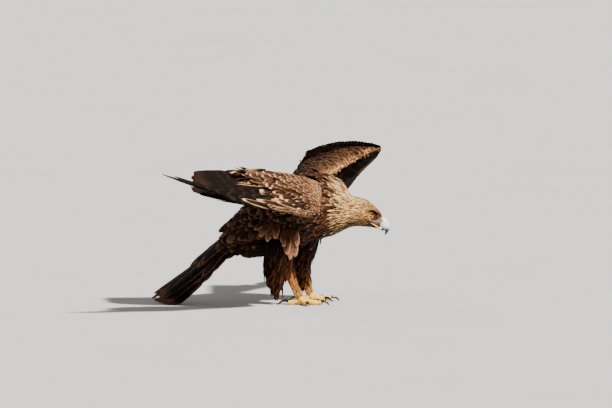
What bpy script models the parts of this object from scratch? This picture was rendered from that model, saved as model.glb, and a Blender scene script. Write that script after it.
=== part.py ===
"""A life-size golden eagle as a still model: it leans forward on two feet with half-open wings.

The script works in millimetres and makes the meshes in metres. The bird faces +X, its left is +Y and
up is +Z. It is built on a floor at z = 0 and centred over its own footprint at the end.
"""

import math

import bmesh
import bpy
import numpy as np
from mathutils import Matrix

OBJECT_NAME = "golden_eagle"
MM = 0.001
GAP = 0.3           # what two neighbouring pieces keep between them
WELD = 0.004        # points nearer than this after a union are one
FLAT = math.radians(0.6)    # faces that lean less than this to each other are merged
VANE_THICK = 0.7    # thickness of a modelled feather
# Where along a feather its sections lie: a long one, a short one, and a pointed lock.
LONG_VANE = (0.0, 0.30, 0.62, 0.86, 1.0)
SHORT_VANE = (0.0, 0.50, 0.86, 1.0)
LOCK = (0.0, 0.30, 0.62, 1.0)
BODY_SIDES = 20     # points round the trunk, neck and head
BODY_RINGS = 17     # sections along them, besides two at the rump and one at the face
BODY_ROUND = 2.15   # how square the sections are, 2 being an oval

# The trunk, neck and head as one outline, from the root of the tail to the face. Each row is one
# section: x and z of its top, x and z of its bottom, and half its width.
BODY_OUTLINE = [
    (-220, 250, -174, 152, 36),
    (-192, 284, -154, 140, 54),
    (-155, 315, -118, 146, 70),
    (-99, 349, -68, 157, 82),
    (-37, 378, -25, 167, 90),
    (19, 396, 19, 183, 92),
    (68, 404, 62, 197, 86),
    (109, 393, 99, 208, 75),
    (133, 372, 133, 222, 62),
    (155, 341, 158, 233, 50),
    (177, 333, 180, 237, 43),
    (202, 325, 202, 237, 38),
    (223, 310, 219, 236, 33),
    (242, 291, 234, 233, 26),
    (255, 273, 247, 231, 17),
]
NECK_FROM = 0.535   # share of the outline where the trunk ends
HEAD_FROM = 0.685   # and where the neck ends

# The hackles' rows, each a share of the outline and a number, and the arc over the nape that they fill.
HACKLE_ROWS = ((0.655, 7), (0.622, 8), (0.592, 9))
HACKLE_FROM, HACKLE_ARC = -38, 256
HACKLE_LENGTH, HACKLE_WIDTH = 34, 16
# The raised feathers behind the neck: rows with a share of the outline and how steeply they stand.
MANTLE_ROWS = ((0.50, 0.42), (0.455, 0.36))
MANTLE_LENGTH, MANTLE_WIDTH = 58, 38

EYE_X, EYE_Z = 233.0, 268.5
EYE_OUT = 20.5      # from the middle plane to the centre of the eyeball
EYE_RADIUS = 10.0
LID_THICK = 1.9     # half the thickness of a lid
LID_ACROSS = 58     # how far a lid reaches from the middle of the eye to its corners, in degrees
LID_OPEN = {"upper": 33, "lower": -32}      # how far each lid stands above the middle, in degrees
LOOK = (0.40, 0.90, -0.06)      # where the left eye looks

# Each wing's joints: shoulder, elbow, wrist and the end of the hand, and where its feathers aim. The
# lengths are of the innermost and the outer flight feathers on the arm. Its front edge is hollowed, its
# feathers' line rises in a ridge, and they droop towards their tips.
WINGS = {
    "right": {
        "side": -1,
        "shoulder": (68, -66, 371),
        "elbow": (-108, -140, 403),
        "wrist": (48, -288, 297),
        "hand_end": (-74, -392, 328),
        "inner_aim": (-0.985, 0.03, -0.08),
        "outer_aim": (-0.970, -0.03, 0.245),
        "hand_inner_aim": (-0.965, -0.20, 0.19),
        "hand_outer_aim": (-0.790, -0.590, 0.290),
        "lengths": (205, 345),
        "hollow": 3.0,
        "ridge": 4.0,
        "droop": 4.0,
    },
    "left": {
        "side": 1,
        "shoulder": (82, 66, 380),
        "elbow": (52, 232, 440),
        "wrist": (240, 225, 458),
        "hand_end": (178, 342, 379),
        "inner_aim": (-0.40, 0.42, -0.81),
        "outer_aim": (-0.62, 0.58, -0.53),
        "lengths": (215, 335),
        "hollow": 14.0,
        "ridge": 20.0,
        "hand_inner_aim": (-0.60, 0.60, -0.53),
        "hand_outer_aim": (-0.42, 0.74, -0.52),
        "droop": 16.0,
    },
}
SECONDARIES = 8     # with the tertials, the innermost ones
SECONDARY_WIDTH = 64
GREATER_COVERT = (0.40, 58)     # share of its quill's length, and width
MEDIAN_COVERT = (84, 50)        # length and width
PRIMARY_LENGTHS = (300, 345, 385, 412, 424, 415, 380)
PRIMARY_WIDTHS = (56, 44)       # of the innermost and the outermost
PRIMARY_COVERT = (0.30, 38)
ARM_RINGS = 12
# A wing's feathers lie like slates: each is turned by this much, so that its inner edge covers the
# next one out. Tiers lie half a step between those planes, which keeps any two of them apart.
SLATE = 6.8


def arr(*numbers):
    return np.array(numbers, float)


def unit(vector):
    return vector / np.linalg.norm(vector)


def mix(a, b, t):
    return a + (b - a) * t


def smooth_rows(rows, count):
    """Rows of numbers read along a smooth curve through the given ones."""
    rows = np.array(rows, float)
    last = len(rows) - 1
    made = []
    for t in np.linspace(0, last, count):
        i = min(int(t), last - 1)
        f = t - i
        a, b, c, d = (rows[min(max(i + k, 0), last)] for k in (-1, 0, 1, 2))
        made.append(
            0.5 * ((2 * b) + (c - a) * f + (2 * a - 5 * b + 4 * c - d) * f**2
                   + (3 * b - a - 3 * c + d) * f**3)
        )
    return np.array(made)


def clear_scene():
    for found in list(bpy.data.objects):
        bpy.data.objects.remove(found)


def material(name, colour, roughness):
    made = bpy.data.materials.new(name)
    made.use_nodes = True
    shader = made.node_tree.nodes["Principled BSDF"]
    shader.inputs["Base Color"].default_value = (*colour, 1)
    shader.inputs["Roughness"].default_value = roughness
    return made


def group(name):
    made = bpy.data.collections.new(name)
    bpy.context.scene.collection.children.link(made)
    return made


def parts_group():
    """The collection of the finished parts, which carries the object's name."""
    return bpy.data.collections.get(OBJECT_NAME) or group(OBJECT_NAME)


def new_object(name, points, faces, where=None):
    """A mesh object from points in millimetres."""
    mesh = bpy.data.meshes.new(name)
    mesh.from_pydata([tuple(p) for p in np.array(points) * MM], [], [tuple(f) for f in faces])
    mesh.validate()
    made = bpy.data.objects.new(name, mesh)
    (where or parts_group()).objects.link(made)
    return made


def tube_faces(rings, sides):
    """Quads between closed rings, with a fan of triangles round a middle point at each end."""
    faces = []
    for r in range(rings - 1):
        for s in range(sides):
            n = (s + 1) % sides
            faces.append((r * sides + s, r * sides + n, (r + 1) * sides + n, (r + 1) * sides + s))
    first, last = rings * sides, rings * sides + 1
    for s in range(sides):
        n = (s + 1) % sides
        faces.append((first, n, s))
        faces.append((last, (rings - 1) * sides + s, (rings - 1) * sides + n))
    return faces


def loft(name, rings, where=None):
    """A closed solid through rings of equal length, which run anticlockwise seen along the loft."""
    rings = np.array(rings, float)
    points = np.concatenate([rings.reshape(-1, 3), [rings[0].mean(0)], [rings[-1].mean(0)]])
    made = new_object(name, points, tube_faces(len(rings), rings.shape[1]), where)
    face_outward(made)
    return made


def face_outward(made):
    mesh = bmesh.new()
    mesh.from_mesh(made.data)
    bmesh.ops.recalc_face_normals(mesh, faces=mesh.faces)
    if mesh.calc_volume(signed=True) < 0:
        bmesh.ops.reverse_faces(mesh, faces=mesh.faces)
    mesh.to_mesh(made.data)
    mesh.free()


def oval(centre, side, up, half_side, half_up, sides, power=2.0):
    """A ring round centre. A power over 2 makes it squarer."""
    ring = []
    for k in range(sides):
        a = 2 * math.pi * k / sides
        c, s = math.cos(a), math.sin(a)
        c = math.copysign(abs(c) ** (2 / power), c)
        s = math.copysign(abs(s) ** (2 / power), s)
        ring.append(centre + side * half_side * c + up * half_up * s)
    return ring


def tube(name, path, sizes, sides, across=(0, 1, 0), where=None):
    """A tapering limb along path, whose rows of sizes are half its width and half its depth."""
    path, sizes = np.array(path, float), np.array(sizes, float)
    across = unit(np.array(across, float))
    rings = []
    for k, centre in enumerate(path):
        ahead = unit(path[min(k + 1, len(path) - 1)] - path[max(k - 1, 0)])
        side = unit(across - ahead * (across @ ahead))
        rings.append(oval(centre, side, np.cross(ahead, side), *sizes[k], sides))
    return loft(name, rings, where)


def vane(name, root, aim, normal, length, width, where, droop=0.0, tip=0.35, floor=None,
         stations=LONG_VANE, blunt=0.80):
    """One feather: a thin plate that leaves its root narrow, widens, and rounds off at its tip.

    It droops by that many degrees over its length. With a floor it never goes below that height.
    """
    aim, normal = unit(aim), unit(normal - unit(aim) * (normal @ unit(aim)))
    side = np.cross(normal, aim)
    shares = {0.0: 0.45, 0.30: 1.0, 0.50: 1.0, 0.62: 1.0, 0.86: blunt, 1.0: tip}
    here, heading, lift = np.array(root, float), aim, normal
    before, points = 0.0, []
    for share in stations:
        turn = math.radians(droop) * (share - before)
        step = length * (share - before)
        heading, lift = (heading * math.cos(turn) - lift * math.sin(turn),
                         lift * math.cos(turn) + heading * math.sin(turn))
        here = here + heading * step
        if floor is not None and here[2] < floor:
            here = arr(here[0], here[1], floor)
        half = width / 2 * shares[share]
        deep = VANE_THICK * (1.6 if share == 0 else 1.0)
        for across, over in ((-1, 1), (1, 1), (1, -1), (-1, -1)):
            points.append(here + side * half * across + lift * deep / 2 * over)
        before = share
    faces = []
    rings = len(stations)
    for r in range(rings - 1):
        a, b = r * 4, (r + 1) * 4
        # Both broad faces are split along the same diagonal.
        faces += [(a, a + 1, b + 1), (a, b + 1, b), (a + 3, b + 3, b + 2), (a + 3, b + 2, a + 2)]
        faces += [(a + 1, a + 2, b + 2, b + 1), (a + 3, a, b, b + 3)]
    faces += [(0, 3, 2, 1), (4 * rings - 4, 4 * rings - 3, 4 * rings - 2, 4 * rings - 1)]
    made = new_object(name, points, faces, where)
    face_outward(made)
    return made


def apply_boolean(made, collection, operation):
    bpy.context.view_layer.update()
    step = made.modifiers.new(operation.lower(), "BOOLEAN")
    step.operation = operation
    step.operand_type = "COLLECTION"
    step.collection = collection
    step.solver = "MANIFOLD"
    graph = bpy.context.evaluated_depsgraph_get()
    result = bpy.data.meshes.new_from_object(made.evaluated_get(graph))
    made.modifiers.remove(step)
    old = made.data
    made.data = result
    bpy.data.meshes.remove(old)
    for used in list(collection.objects):
        bpy.data.objects.remove(used)
    bpy.data.collections.remove(collection)
    keep_largest(made)
    return made


def is_closed(mesh):
    return all(len(edge.link_faces) == 2 for edge in mesh.edges)


def in_triangles(mesh):
    """Splits all faces into triangles and keeps the surface closed.

    Where a new diagonal falls on an edge that other faces have already, its two triangles are split
    again round the middle of that diagonal.
    """
    source = mesh.faces.layers.int.new("source")
    for index, face in enumerate(mesh.faces):
        face[source] = index
    bmesh.ops.triangulate(mesh, faces=mesh.faces)
    for edge in [e for e in mesh.edges if len(e.link_faces) > 2]:
        first, second = edge.verts
        faces = list(edge.link_faces)
        for face in faces:
            pair = [f for f in faces if f[source] == face[source]]
            if len(pair) == 2:
                middle = mesh.verts.new((first.co + second.co) / 2)
                for old in pair:
                    for dropped in (first, second):
                        mesh.faces.new([middle if v is dropped else v for v in old.verts])
                bmesh.ops.delete(mesh, geom=pair, context="FACES_ONLY")
                break
    return mesh


def tidied(mesh):
    """The mesh as lean triangles: near points are welded, and flat faces merged where they can be."""
    for flat in (FLAT, 0.1 * FLAT, None):
        for weld in (WELD, 3 * WELD, 0):
            trial = mesh.copy()
            if weld:
                bmesh.ops.remove_doubles(trial, verts=trial.verts, dist=weld * MM)
            if flat:
                bmesh.ops.dissolve_limit(trial, angle_limit=flat, verts=trial.verts, edges=trial.edges)
            in_triangles(trial)
            if is_closed(trial):
                mesh.free()
                return trial
            trial.free()
    return in_triangles(mesh)


def keep_largest(made):
    """Leaves only the largest closed surface of a mesh, as lean triangles."""
    mesh = bmesh.new()
    mesh.from_mesh(made.data)
    mesh = tidied(mesh)
    left, islands = set(mesh.faces), []
    while left:
        stack, island = [left.pop()], []
        while stack:
            face = stack.pop()
            island.append(face)
            for edge in face.edges:
                for other in edge.link_faces:
                    if other in left:
                        left.remove(other)
                        stack.append(other)
        volume = sum(f.verts[0].co.dot(f.verts[1].co.cross(f.verts[2].co)) for f in island)
        islands.append((volume, island))
    islands.sort(key=lambda pair: -pair[0])
    scraps = [face for _, island in islands[1:] for face in island]
    bmesh.ops.delete(mesh, geom=scraps, context="FACES")
    bmesh.ops.delete(mesh, geom=[v for v in mesh.verts if not v.link_faces], context="VERTS")
    mesh.to_mesh(made.data)
    mesh.free()


def union(made, collection):
    return apply_boolean(made, collection, "UNION")


def copy_of(source, grow, where):
    """A closed copy of a solid, each point moved out by grow."""
    mesh = bmesh.new()
    mesh.from_mesh(source.data)
    mesh.normal_update()
    for vertex in mesh.verts:
        # Where faces meet sharply, the shift along the mean normal is made longer to clear them all.
        lean = min((vertex.normal.dot(f.normal) for f in vertex.link_faces), default=1)
        vertex.co += vertex.normal * grow * MM / max(lean, 0.5)
    data = bpy.data.meshes.new(source.name + "_grown")
    mesh.to_mesh(data)
    mesh.free()
    made = bpy.data.objects.new(source.name + "_grown", data)
    where.objects.link(made)
    return made


def cut_clear(made, *others, grow=GAP):
    """Takes away from made all that lies within the gap of the other solids."""
    cutters = group("cutters")
    for other in others:
        # The plain copy clears the odd thin corner that the grown one misses.
        copy_of(other, 0, cutters)
        copy_of(other, grow, cutters)
    return apply_boolean(made, cutters, "DIFFERENCE")


def cut_plane(made, point, normal):
    """Keeps the side that the normal points away from, closed with a flat face."""
    mesh = bmesh.new()
    mesh.from_mesh(made.data)
    geometry = list(mesh.verts) + list(mesh.edges) + list(mesh.faces)
    bmesh.ops.bisect_plane(
        mesh, geom=geometry, dist=1e-7, plane_co=np.array(point) * MM,
        plane_no=tuple(normal), clear_outer=True,
    )
    rims = [e for e in mesh.edges if len(e.link_faces) == 1]
    bmesh.ops.contextual_create(mesh, geom=rims)
    bmesh.ops.recalc_face_normals(mesh, faces=mesh.faces)
    bmesh.ops.triangulate(mesh, faces=mesh.faces)
    mesh.to_mesh(made.data)
    mesh.free()
    return made


def body_section(share):
    """Centre, up, half width and half height of the body's outline, and the way along it."""
    top_x, top_z, low_x, low_z, half = BODY_CURVE[int(round(share * (len(BODY_CURVE) - 1)))]
    top, low = arr(top_x, 0, top_z), arr(low_x, 0, low_z)
    up = unit(top - low)
    return (top + low) / 2, up, half, np.linalg.norm(top - low) / 2, arr(up[2], 0, -up[0])


BODY_CURVE = smooth_rows(BODY_OUTLINE, 401)


def body_ring(share):
    centre, up, half, tall, _ = body_section(share)
    return oval(centre, arr(0, 1, 0), up, half, tall, BODY_SIDES, BODY_ROUND)


def body_solid(name):
    shares = [0.0, 0.035, *np.linspace(0.07, 0.99, BODY_RINGS), 1.0]
    rings = [body_ring(s) for s in shares]
    rounding = 0.72
    for end in (0, -1):
        middle = np.mean(rings[end], 0)
        rings[end] = [middle + (p - middle) * rounding for p in rings[end]]
    return loft(name, rings)


def surface_place(share, angle):
    """A point on the body, its outward direction and the way back along it. Angle 90 is the top."""
    centre, up, half, tall, ahead = body_section(share)
    a = math.radians(angle)
    c, s = math.cos(a), math.sin(a)
    out = unit(arr(0, 1, 0) * c / half + up * s / tall)
    spot = centre + arr(0, 1, 0) * half * c + up * tall * s
    back = unit(-ahead + out * (ahead @ out))
    return spot, out, back


def make_trunk():
    torso, neck, head = (body_solid(n) for n in ("torso", "neck", "head"))
    joints = []
    for share in (NECK_FROM, HEAD_FROM):
        centre, _, _, _, ahead = body_section(share)
        joints.append((centre, ahead))
    (low, low_way), (high, high_way) = joints
    half_gap = GAP / 2
    cut_plane(torso, low - low_way * half_gap, low_way)
    cut_plane(neck, low + low_way * half_gap, -low_way)
    cut_plane(neck, high - high_way * half_gap, high_way)
    cut_plane(head, high + high_way * half_gap, -high_way)
    return torso, neck, head


def add_hackles(neck, torso):
    """The pointed golden feathers of the nape and the sides of the neck."""
    locks = group("hackles")
    stagger, reach, lift = 4, 0.075, 5
    for r, (share, count) in enumerate(HACKLE_ROWS):
        for k in range(count):
            angle = HACKLE_FROM + HACKLE_ARC / (count - 1) * k + (stagger if r % 2 else -stagger)
            spot, out, back = surface_place(share, angle)
            start = spot - out * 3 - back * 4
            end, end_out, _ = surface_place(share - reach, angle)
            vane(f"hackle_{r}_{k}", start, end + end_out * lift - start, out + end_out,
                 HACKLE_LENGTH + 3 * math.sin(k * 2.1 + r), HACKLE_WIDTH, locks, tip=0.12, blunt=0.55,
                 stations=(0.0, 0.50, 1.0))
    union(neck, locks)
    return cut_clear(neck, torso)


def add_mantle(torso):
    """The raised feathers of the shoulders, over the roots of the wings."""
    vanes = group("mantle")
    for side in (-1, 1):
        for r, (share, lift) in enumerate(MANTLE_ROWS):
            for k in range(2):
                angle = 90 + side * (20 + 22 * k + 8 * r)
                spot, out, back = surface_place(share, angle)
                vane(f"mantle_{side}_{r}_{k}", spot - out * 5 - back * 5, back + out * lift, out,
                     MANTLE_LENGTH, MANTLE_WIDTH, vanes, droop=10, tip=0.4, stations=SHORT_VANE)
    return union(torso, vanes)


def wing_frame(wing):
    """The wing's joints as arrays, with the normal of its back."""
    shoulder, elbow, wrist, tip = (
        np.array(wing[k], float) for k in ("shoulder", "elbow", "wrist", "hand_end")
    )
    normal = unit(np.cross(elbow - shoulder, wrist - shoulder) * -wing["side"])
    return shoulder, elbow, wrist, tip, normal


def blade_ring(front, rear, normal, thick, arch, sides=12):
    """A section of the wing: round in front, thin behind, arched along its chord."""
    chord = rear - front
    ring = []
    for k in range(sides):
        a = 2 * math.pi * k / sides
        along = 0.5 - 0.5 * math.cos(a)
        skin = math.sin(a) * math.sqrt(max(along, 0)) ** 0.6 * (1 - 0.62 * along)
        rise = arch * 4 * along * (1 - along) * 0.75
        ring.append(front + chord * along + normal * (thick * skin * 0.62 + rise))
    return ring


def arm_solid(name, wing):
    """Upper arm and forearm with the skin between them, from inside the trunk to the wrist."""
    shoulder, elbow, wrist, _, normal = wing_frame(wing)
    side = wing["side"]
    aim = unit(np.array(wing["outer_aim"], float))
    inner_front = arr(shoulder[0] + 4, side * 34, shoulder[2] - 2)
    inner_rear = arr(shoulder[0] - 106, side * 34, shoulder[2] - 6)
    ahead = unit(wrist - elbow)
    # Each section: its front, its rear, its thickness and how far it arches.
    rows = [(inner_front, inner_rear, 46, 0)]
    for s, thick, arch in ((0.0, 40, 6), (0.25, 32, 13), (0.5, 30, 18), (0.75, 28, 14), (0.93, 27, 6)):
        front = mix(shoulder, wrist, s) - aim * (12 + 6 * s) * (1 if s > 0.1 else 0.2)
        front = front + aim * wing["hollow"] * 4 * s * (1 - s)
        rear = mix(elbow, wrist, s) + aim * mix(26, 20, s) + ahead * mix(-14, 0, s)
        rear = rear + arr(0, 0, wing["ridge"] * 4 * s * (1 - s))
        rows.append((front, rear, thick, arch))
    rows.append((wrist - aim * 15 + ahead * 12, wrist + aim * 12 + ahead * 10, 20, 1))
    front_rows, rear_rows, shape = (
        smooth_rows(column, ARM_RINGS)
        for column in ([r[0] for r in rows], [r[1] for r in rows], [r[2:] for r in rows])
    )
    rings = [blade_ring(f, r, normal, t, a) for f, r, (t, a) in zip(front_rows, rear_rows, shape)]
    return loft(name, rings)


def hand_solid(name, wing):
    _, _, wrist, tip, _ = wing_frame(wing)
    outer = unit(np.array(wing["hand_outer_aim"], float))
    ahead = unit(tip - wrist)
    lift = hand_normal(wing)
    trail = unit(np.cross(lift, ahead) * -wing["side"])
    path = [wrist + ahead * 2, wrist + ahead * 40, wrist + ahead * 85, tip, tip + outer * 22]
    sizes = [(14, 11), (17, 10), (15, 8), (10, 6), (4, 3)]
    path = smooth_rows(path, 10)
    sizes = smooth_rows(sizes, 10)
    return tube(name, path + trail * 6, sizes, 12, across=trail)


def hand_normal(wing):
    inner = np.array(wing["hand_inner_aim"], float)
    outer = np.array(wing["hand_outer_aim"], float)
    return unit(np.cross(inner, outer) * -wing["side"])


def tilted(normal, aim, degrees):
    """The normal turned about the feather's own length."""
    a = math.radians(degrees)
    return normal * math.cos(a) + np.cross(aim, normal) * math.sin(a)


def secondary_places(wing, count):
    """Root, aim and normal of each flight feather along the forearm, innermost first."""
    _, elbow, wrist, _, _ = wing_frame(wing)
    inner, outer = np.array(wing["inner_aim"], float), np.array(wing["outer_aim"], float)
    ahead = unit(wrist - elbow)
    for k in range(count):
        t = k / (count - 1)
        aim = unit(mix(inner, outer, min(1, t * 1.15)))
        root = mix(elbow - ahead * 26, wrist - ahead * 8, t) + arr(0, 0, wing["ridge"] * 4 * t * (1 - t))
        lift = unit(np.cross(aim, ahead) * -wing["side"])
        yield t, root, aim, tilted(lift, aim, SLATE * wing["side"])


def primary_places(wing, count):
    _, _, wrist, tip, _ = wing_frame(wing)
    inner, outer = np.array(wing["hand_inner_aim"], float), np.array(wing["hand_outer_aim"], float)
    lift = hand_normal(wing)
    for k in range(count):
        t = k / (count - 1)
        aim = unit(mix(inner, outer, t))
        root = mix(mix(wrist, tip, 0.10), tip, t)
        yield t, root, aim, tilted(lift, aim, SLATE * wing["side"])


def tier_lift(tier, spacing):
    return (tier + 0.5) * spacing * math.sin(math.radians(SLATE))


def make_arm(side_name, wing, torso, neck):
    arm = arm_solid(f"wing_{side_name}_arm", wing)
    vanes = group("arm_vanes")
    places = list(secondary_places(wing, SECONDARIES))
    spacing = np.linalg.norm(places[1][1] - places[0][1])
    bend = wing["droop"] / max(wing["lengths"])
    greater_share, greater_width = GREATER_COVERT
    median_length, median_width = MEDIAN_COVERT
    for k, (t, root, aim, lift) in enumerate(places):
        long = mix(*wing["lengths"], min(1, t * 1.2))
        vane(f"secondary_{k}", root - lift * 2, aim, lift, long, SECONDARY_WIDTH, vanes, droop=bend * long)
        covert = long * greater_share
        vane(f"greater_covert_{k}", root - aim * 6 + lift * (tier_lift(1, spacing) - 2), aim, lift,
             covert, greater_width, vanes, droop=bend * covert, stations=SHORT_VANE)
        if 0 < k < SECONDARIES - 1:
            vane(f"median_covert_{k}", root - aim * 18 + lift * (tier_lift(2, spacing) - 2), aim, lift,
                 median_length, median_width, vanes, droop=bend * median_length, stations=SHORT_VANE)
    union(arm, vanes)
    return cut_clear(arm, torso, neck)


def make_hand(side_name, wing, arm):
    hand = hand_solid(f"wing_{side_name}_hand", wing)
    vanes = group("hand_vanes")
    places = list(primary_places(wing, len(PRIMARY_LENGTHS)))
    spacing = np.linalg.norm(places[1][1] - places[0][1])
    bend = wing["droop"] * 0.5 / max(PRIMARY_LENGTHS)
    covert_share, covert_width = PRIMARY_COVERT
    for k, (t, root, aim, lift) in enumerate(places):
        # The outer feathers narrow past their middle, where the wing tip opens into fingers.
        narrow = 0.50 if k > 2 else 0.85
        long = PRIMARY_LENGTHS[k]
        vane(f"primary_{k}", root - lift * 2.5, aim, lift, long, mix(*PRIMARY_WIDTHS, t), vanes,
             droop=bend * long, blunt=narrow, tip=0.2)
        covert = long * covert_share
        vane(f"primary_covert_{k}", root + lift * (tier_lift(1, spacing) - 2.5) - aim * 4, aim, lift,
             covert, covert_width, vanes, droop=bend * covert, stations=SHORT_VANE)
    union(hand, vanes)
    return cut_clear(hand, arm)


TAIL_ROOT = arr(-193, 0, 216)
TAIL_SLOPE = 44.0       # degrees below level where it leaves the rump
TAIL_ROLL = 33.0        # its upper side turns this far towards the right of the bird
TAIL_LENGTH = 345.0
TAIL_FEATHERS = 12
TAIL_WIDTH = 46.0       # of one feather
TAIL_COVERTS = 4        # over the feathers' roots, and as many under them
TAIL_COVERT_LENGTH, TAIL_COVERT_WIDTH = 125.0, 40.0
TAIL_REST = 10.0        # height of the middle of its tip, whose lower edge lies on the floor


def tail_frame():
    slope, roll = math.radians(TAIL_SLOPE), math.radians(TAIL_ROLL)
    aim = arr(-math.cos(slope), 0, -math.sin(slope))
    upright = arr(-math.sin(slope), 0, math.cos(slope))
    lift = upright * math.cos(roll) + arr(0, -1, 0) * math.sin(roll)
    return aim, lift, np.cross(aim, lift)


def make_tail(torso):
    aim, lift, across = tail_frame()
    # The long feathers under its root make it deeper below than above.
    places = ((-25, 4), (0, 8), (40, 10), (90, 6), (150, 0))
    path = [TAIL_ROOT + aim * step - lift * sag for step, sag in places]
    sizes = [(32, 44), (36, 48), (37, 42), (33, 26), (26, 6)]
    tail = tube("tail", smooth_rows(path, 7), smooth_rows(sizes, 7), 12, across=across)
    vanes = group("tail_vanes")
    half = (TAIL_FEATHERS - 1) / 2
    for k in range(TAIL_FEATHERS):
        off = (k - half) / half
        # The middle pair lies on top and each pair outwards lies under the last, as in a closed tail.
        level = 4 - abs(off) * 12 - (0.9 if off > 0 else 0)
        way = unit(aim + across * off * 0.115)
        root = TAIL_ROOT + aim * 30 + across * off * 17 + lift * level
        vane(f"rectrix_{k}", root, way, lift, TAIL_LENGTH - 34 - abs(off) * 12, TAIL_WIDTH, vanes,
             droop=-9, tip=0.5, blunt=0.9, floor=TAIL_REST + 0.75 * level)
    half = (TAIL_COVERTS - 1) / 2
    for k in range(TAIL_COVERTS):
        off = (k - half) / half
        root = TAIL_ROOT + aim * 20 + across * off * 20
        vane(f"upper_covert_{k}", root + lift * (16 - 4 * abs(off)), unit(aim + across * off * 0.12),
             tilted(lift, aim, -12 * off), TAIL_COVERT_LENGTH - 16 * abs(off), TAIL_COVERT_WIDTH, vanes,
             droop=-3, stations=SHORT_VANE)
        vane(f"under_covert_{k}", root - lift * (28 - 4 * abs(off)), unit(aim + across * off * 0.14),
             tilted(-lift, aim, 12 * off), TAIL_COVERT_LENGTH - 20 * abs(off), TAIL_COVERT_WIDTH, vanes,
             droop=6, stations=SHORT_VANE)
    union(tail, vanes)
    cut_plane(tail, (0, 0, 0), (0, 0, -1))
    keep_largest(tail)
    return cut_clear(tail, torso)


# Each leg: where its thigh leaves the trunk, its heel and its ankle over the foot.
LEGS = {
    "right": {
        "side": -1,
        "thigh": [(-52, -48, 232, 62, 36), (-57, -60, 196, 60, 42), (-63, -62, 160, 51, 38),
                  (-70, -62, 128, 44, 33), (-75, -60, 96, 37, 27), (-76, -58, 66, 28, 20),
                  (-73, -56, 44, 14, 11)],
        "tarsus": [(-44, -58, 140), (-35, -58, 104), (-20, -57, 66), (-5, -56, 32), (2, -56, 19)],
        "foot": (4, -56),
        "toes": {"middle": (-6, 62, 33), "inner": (26, 46, 36), "outer": (-68, 46, 30),
                 "hind": (176, 40, 46)},
    },
    "left": {
        "side": 1,
        "thigh": [(14, 48, 232, 60, 36), (10, 60, 196, 56, 42), (6, 62, 160, 44, 38),
                  (4, 62, 128, 36, 31), (2, 61, 100, 31, 25), (3, 60, 78, 25, 19),
                  (6, 60, 60, 13, 11)],
        "tarsus": [(4, 60, 140), (10, 60, 104), (19, 59, 66), (28, 58, 32), (33, 58, 19)],
        "foot": (36, 58),
        "toes": {"middle": (8, 62, 33), "inner": (-24, 46, 36), "outer": (52, 46, 30),
                 "hind": (186, 40, 46)},
    },
}
TROUSER_LOCKS = ((0.56, 5), (0.84, 6))     # rows: share of the thigh's length, and number round it
LOCK_LENGTH, LOCK_WIDTH = 44, 22
TOE_RADIUS = 8.6
CLAW_HALF = (4.6, 5.2)      # half width and half depth at its root
CLAW_BEND = math.radians(78)
CLAW_STEPS = 5


def make_thigh(side_name, leg, torso):
    rows = smooth_rows(leg["thigh"], 13)
    rings = [oval(row[:3], arr(1, 0, 0), arr(0, 1, 0), row[3], row[4], 18, 2.1) for row in rows]
    thigh = loft(f"thigh_{side_name}", rings)
    locks = group("trouser_locks")
    for r, (share, count) in enumerate(TROUSER_LOCKS):
        row = rows[int(share * (len(rows) - 1))]
        for k in range(count):
            a = 2 * math.pi * (k + 0.5 * (r % 2)) / count
            if math.cos(a) > 0.75:      # the shank leaves the thigh in front
                continue
            out = arr(math.cos(a), math.sin(a) * 0.8, 0)
            spot = row[:3] + arr(row[3] * math.cos(a), row[4] * math.sin(a), 0)
            vane(f"lock_{r}_{k}", spot - unit(out) * 3.5 + arr(0, 0, 10), arr(0, 0, -1) + unit(out) * 0.05,
                 unit(out), LOCK_LENGTH, LOCK_WIDTH, locks, tip=0.15, blunt=0.6, droop=6, stations=LOCK)
    union(thigh, locks)
    return cut_clear(thigh, torso)


def make_tarsus(side_name, leg, thigh):
    path = smooth_rows(leg["tarsus"], 9)
    sizes = smooth_rows([(14, 18), (13, 17), (12, 14), (12, 13), (12, 12)], 9)
    tarsus = tube(f"tarsus_{side_name}", path, sizes, 14)
    return cut_clear(tarsus, thigh)


def toe_path(start, degrees, length):
    """The bent line of a toe, which rises over its joints and comes down to its claw."""
    a = math.radians(degrees)
    way = arr(math.cos(a), math.sin(a), 0)
    places = ((-0.05, 12), (0.25, 11.5), (0.55, 8.6), (0.80, 6.9), (1.0, 8.4))
    return [start + way * length * s + arr(0, 0, h) for s, h in places]


def make_foot(side_name, leg, tarsus):
    x, y = leg["foot"]
    start = arr(x, y, 0)
    pad = tube(f"foot_{side_name}", [start + arr(-9, 0, 12), start + arr(0, 0, 13), start + arr(9, 0, 12)],
               [(8, 7), (15, 13), (8, 8)], 14)
    toes = group("toes")
    tube("shank", [start + arr(-2, 0, 24), start + arr(0, 0, 10)], [(11, 11), (13, 13)], 14, where=toes)
    claws = {}
    for name, (degrees, length, claw) in leg["toes"].items():
        path = smooth_rows(toe_path(start, degrees, length), 6)
        sizes = [(TOE_RADIUS * (1.06 - 0.06 * k + 0.05 * math.cos(k * math.pi)),
                  TOE_RADIUS * (1.06 - 0.054 * k)) for k in range(6)]
        a = math.radians(degrees)
        tube(f"toe_{name}", path, sizes, 8, across=(-math.sin(a), math.cos(a), 0), where=toes)
        claws[name] = (path[-1], arr(math.cos(a), math.sin(a), 0), claw)
    union(pad, toes)
    cut_plane(pad, (0, 0, 0), (0, 0, -1))
    keep_largest(pad)
    cut_clear(pad, tarsus)
    for name, (base, way, size) in claws.items():
        make_claw(f"claw_{side_name}_{name}", base, way, size, pad)


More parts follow.
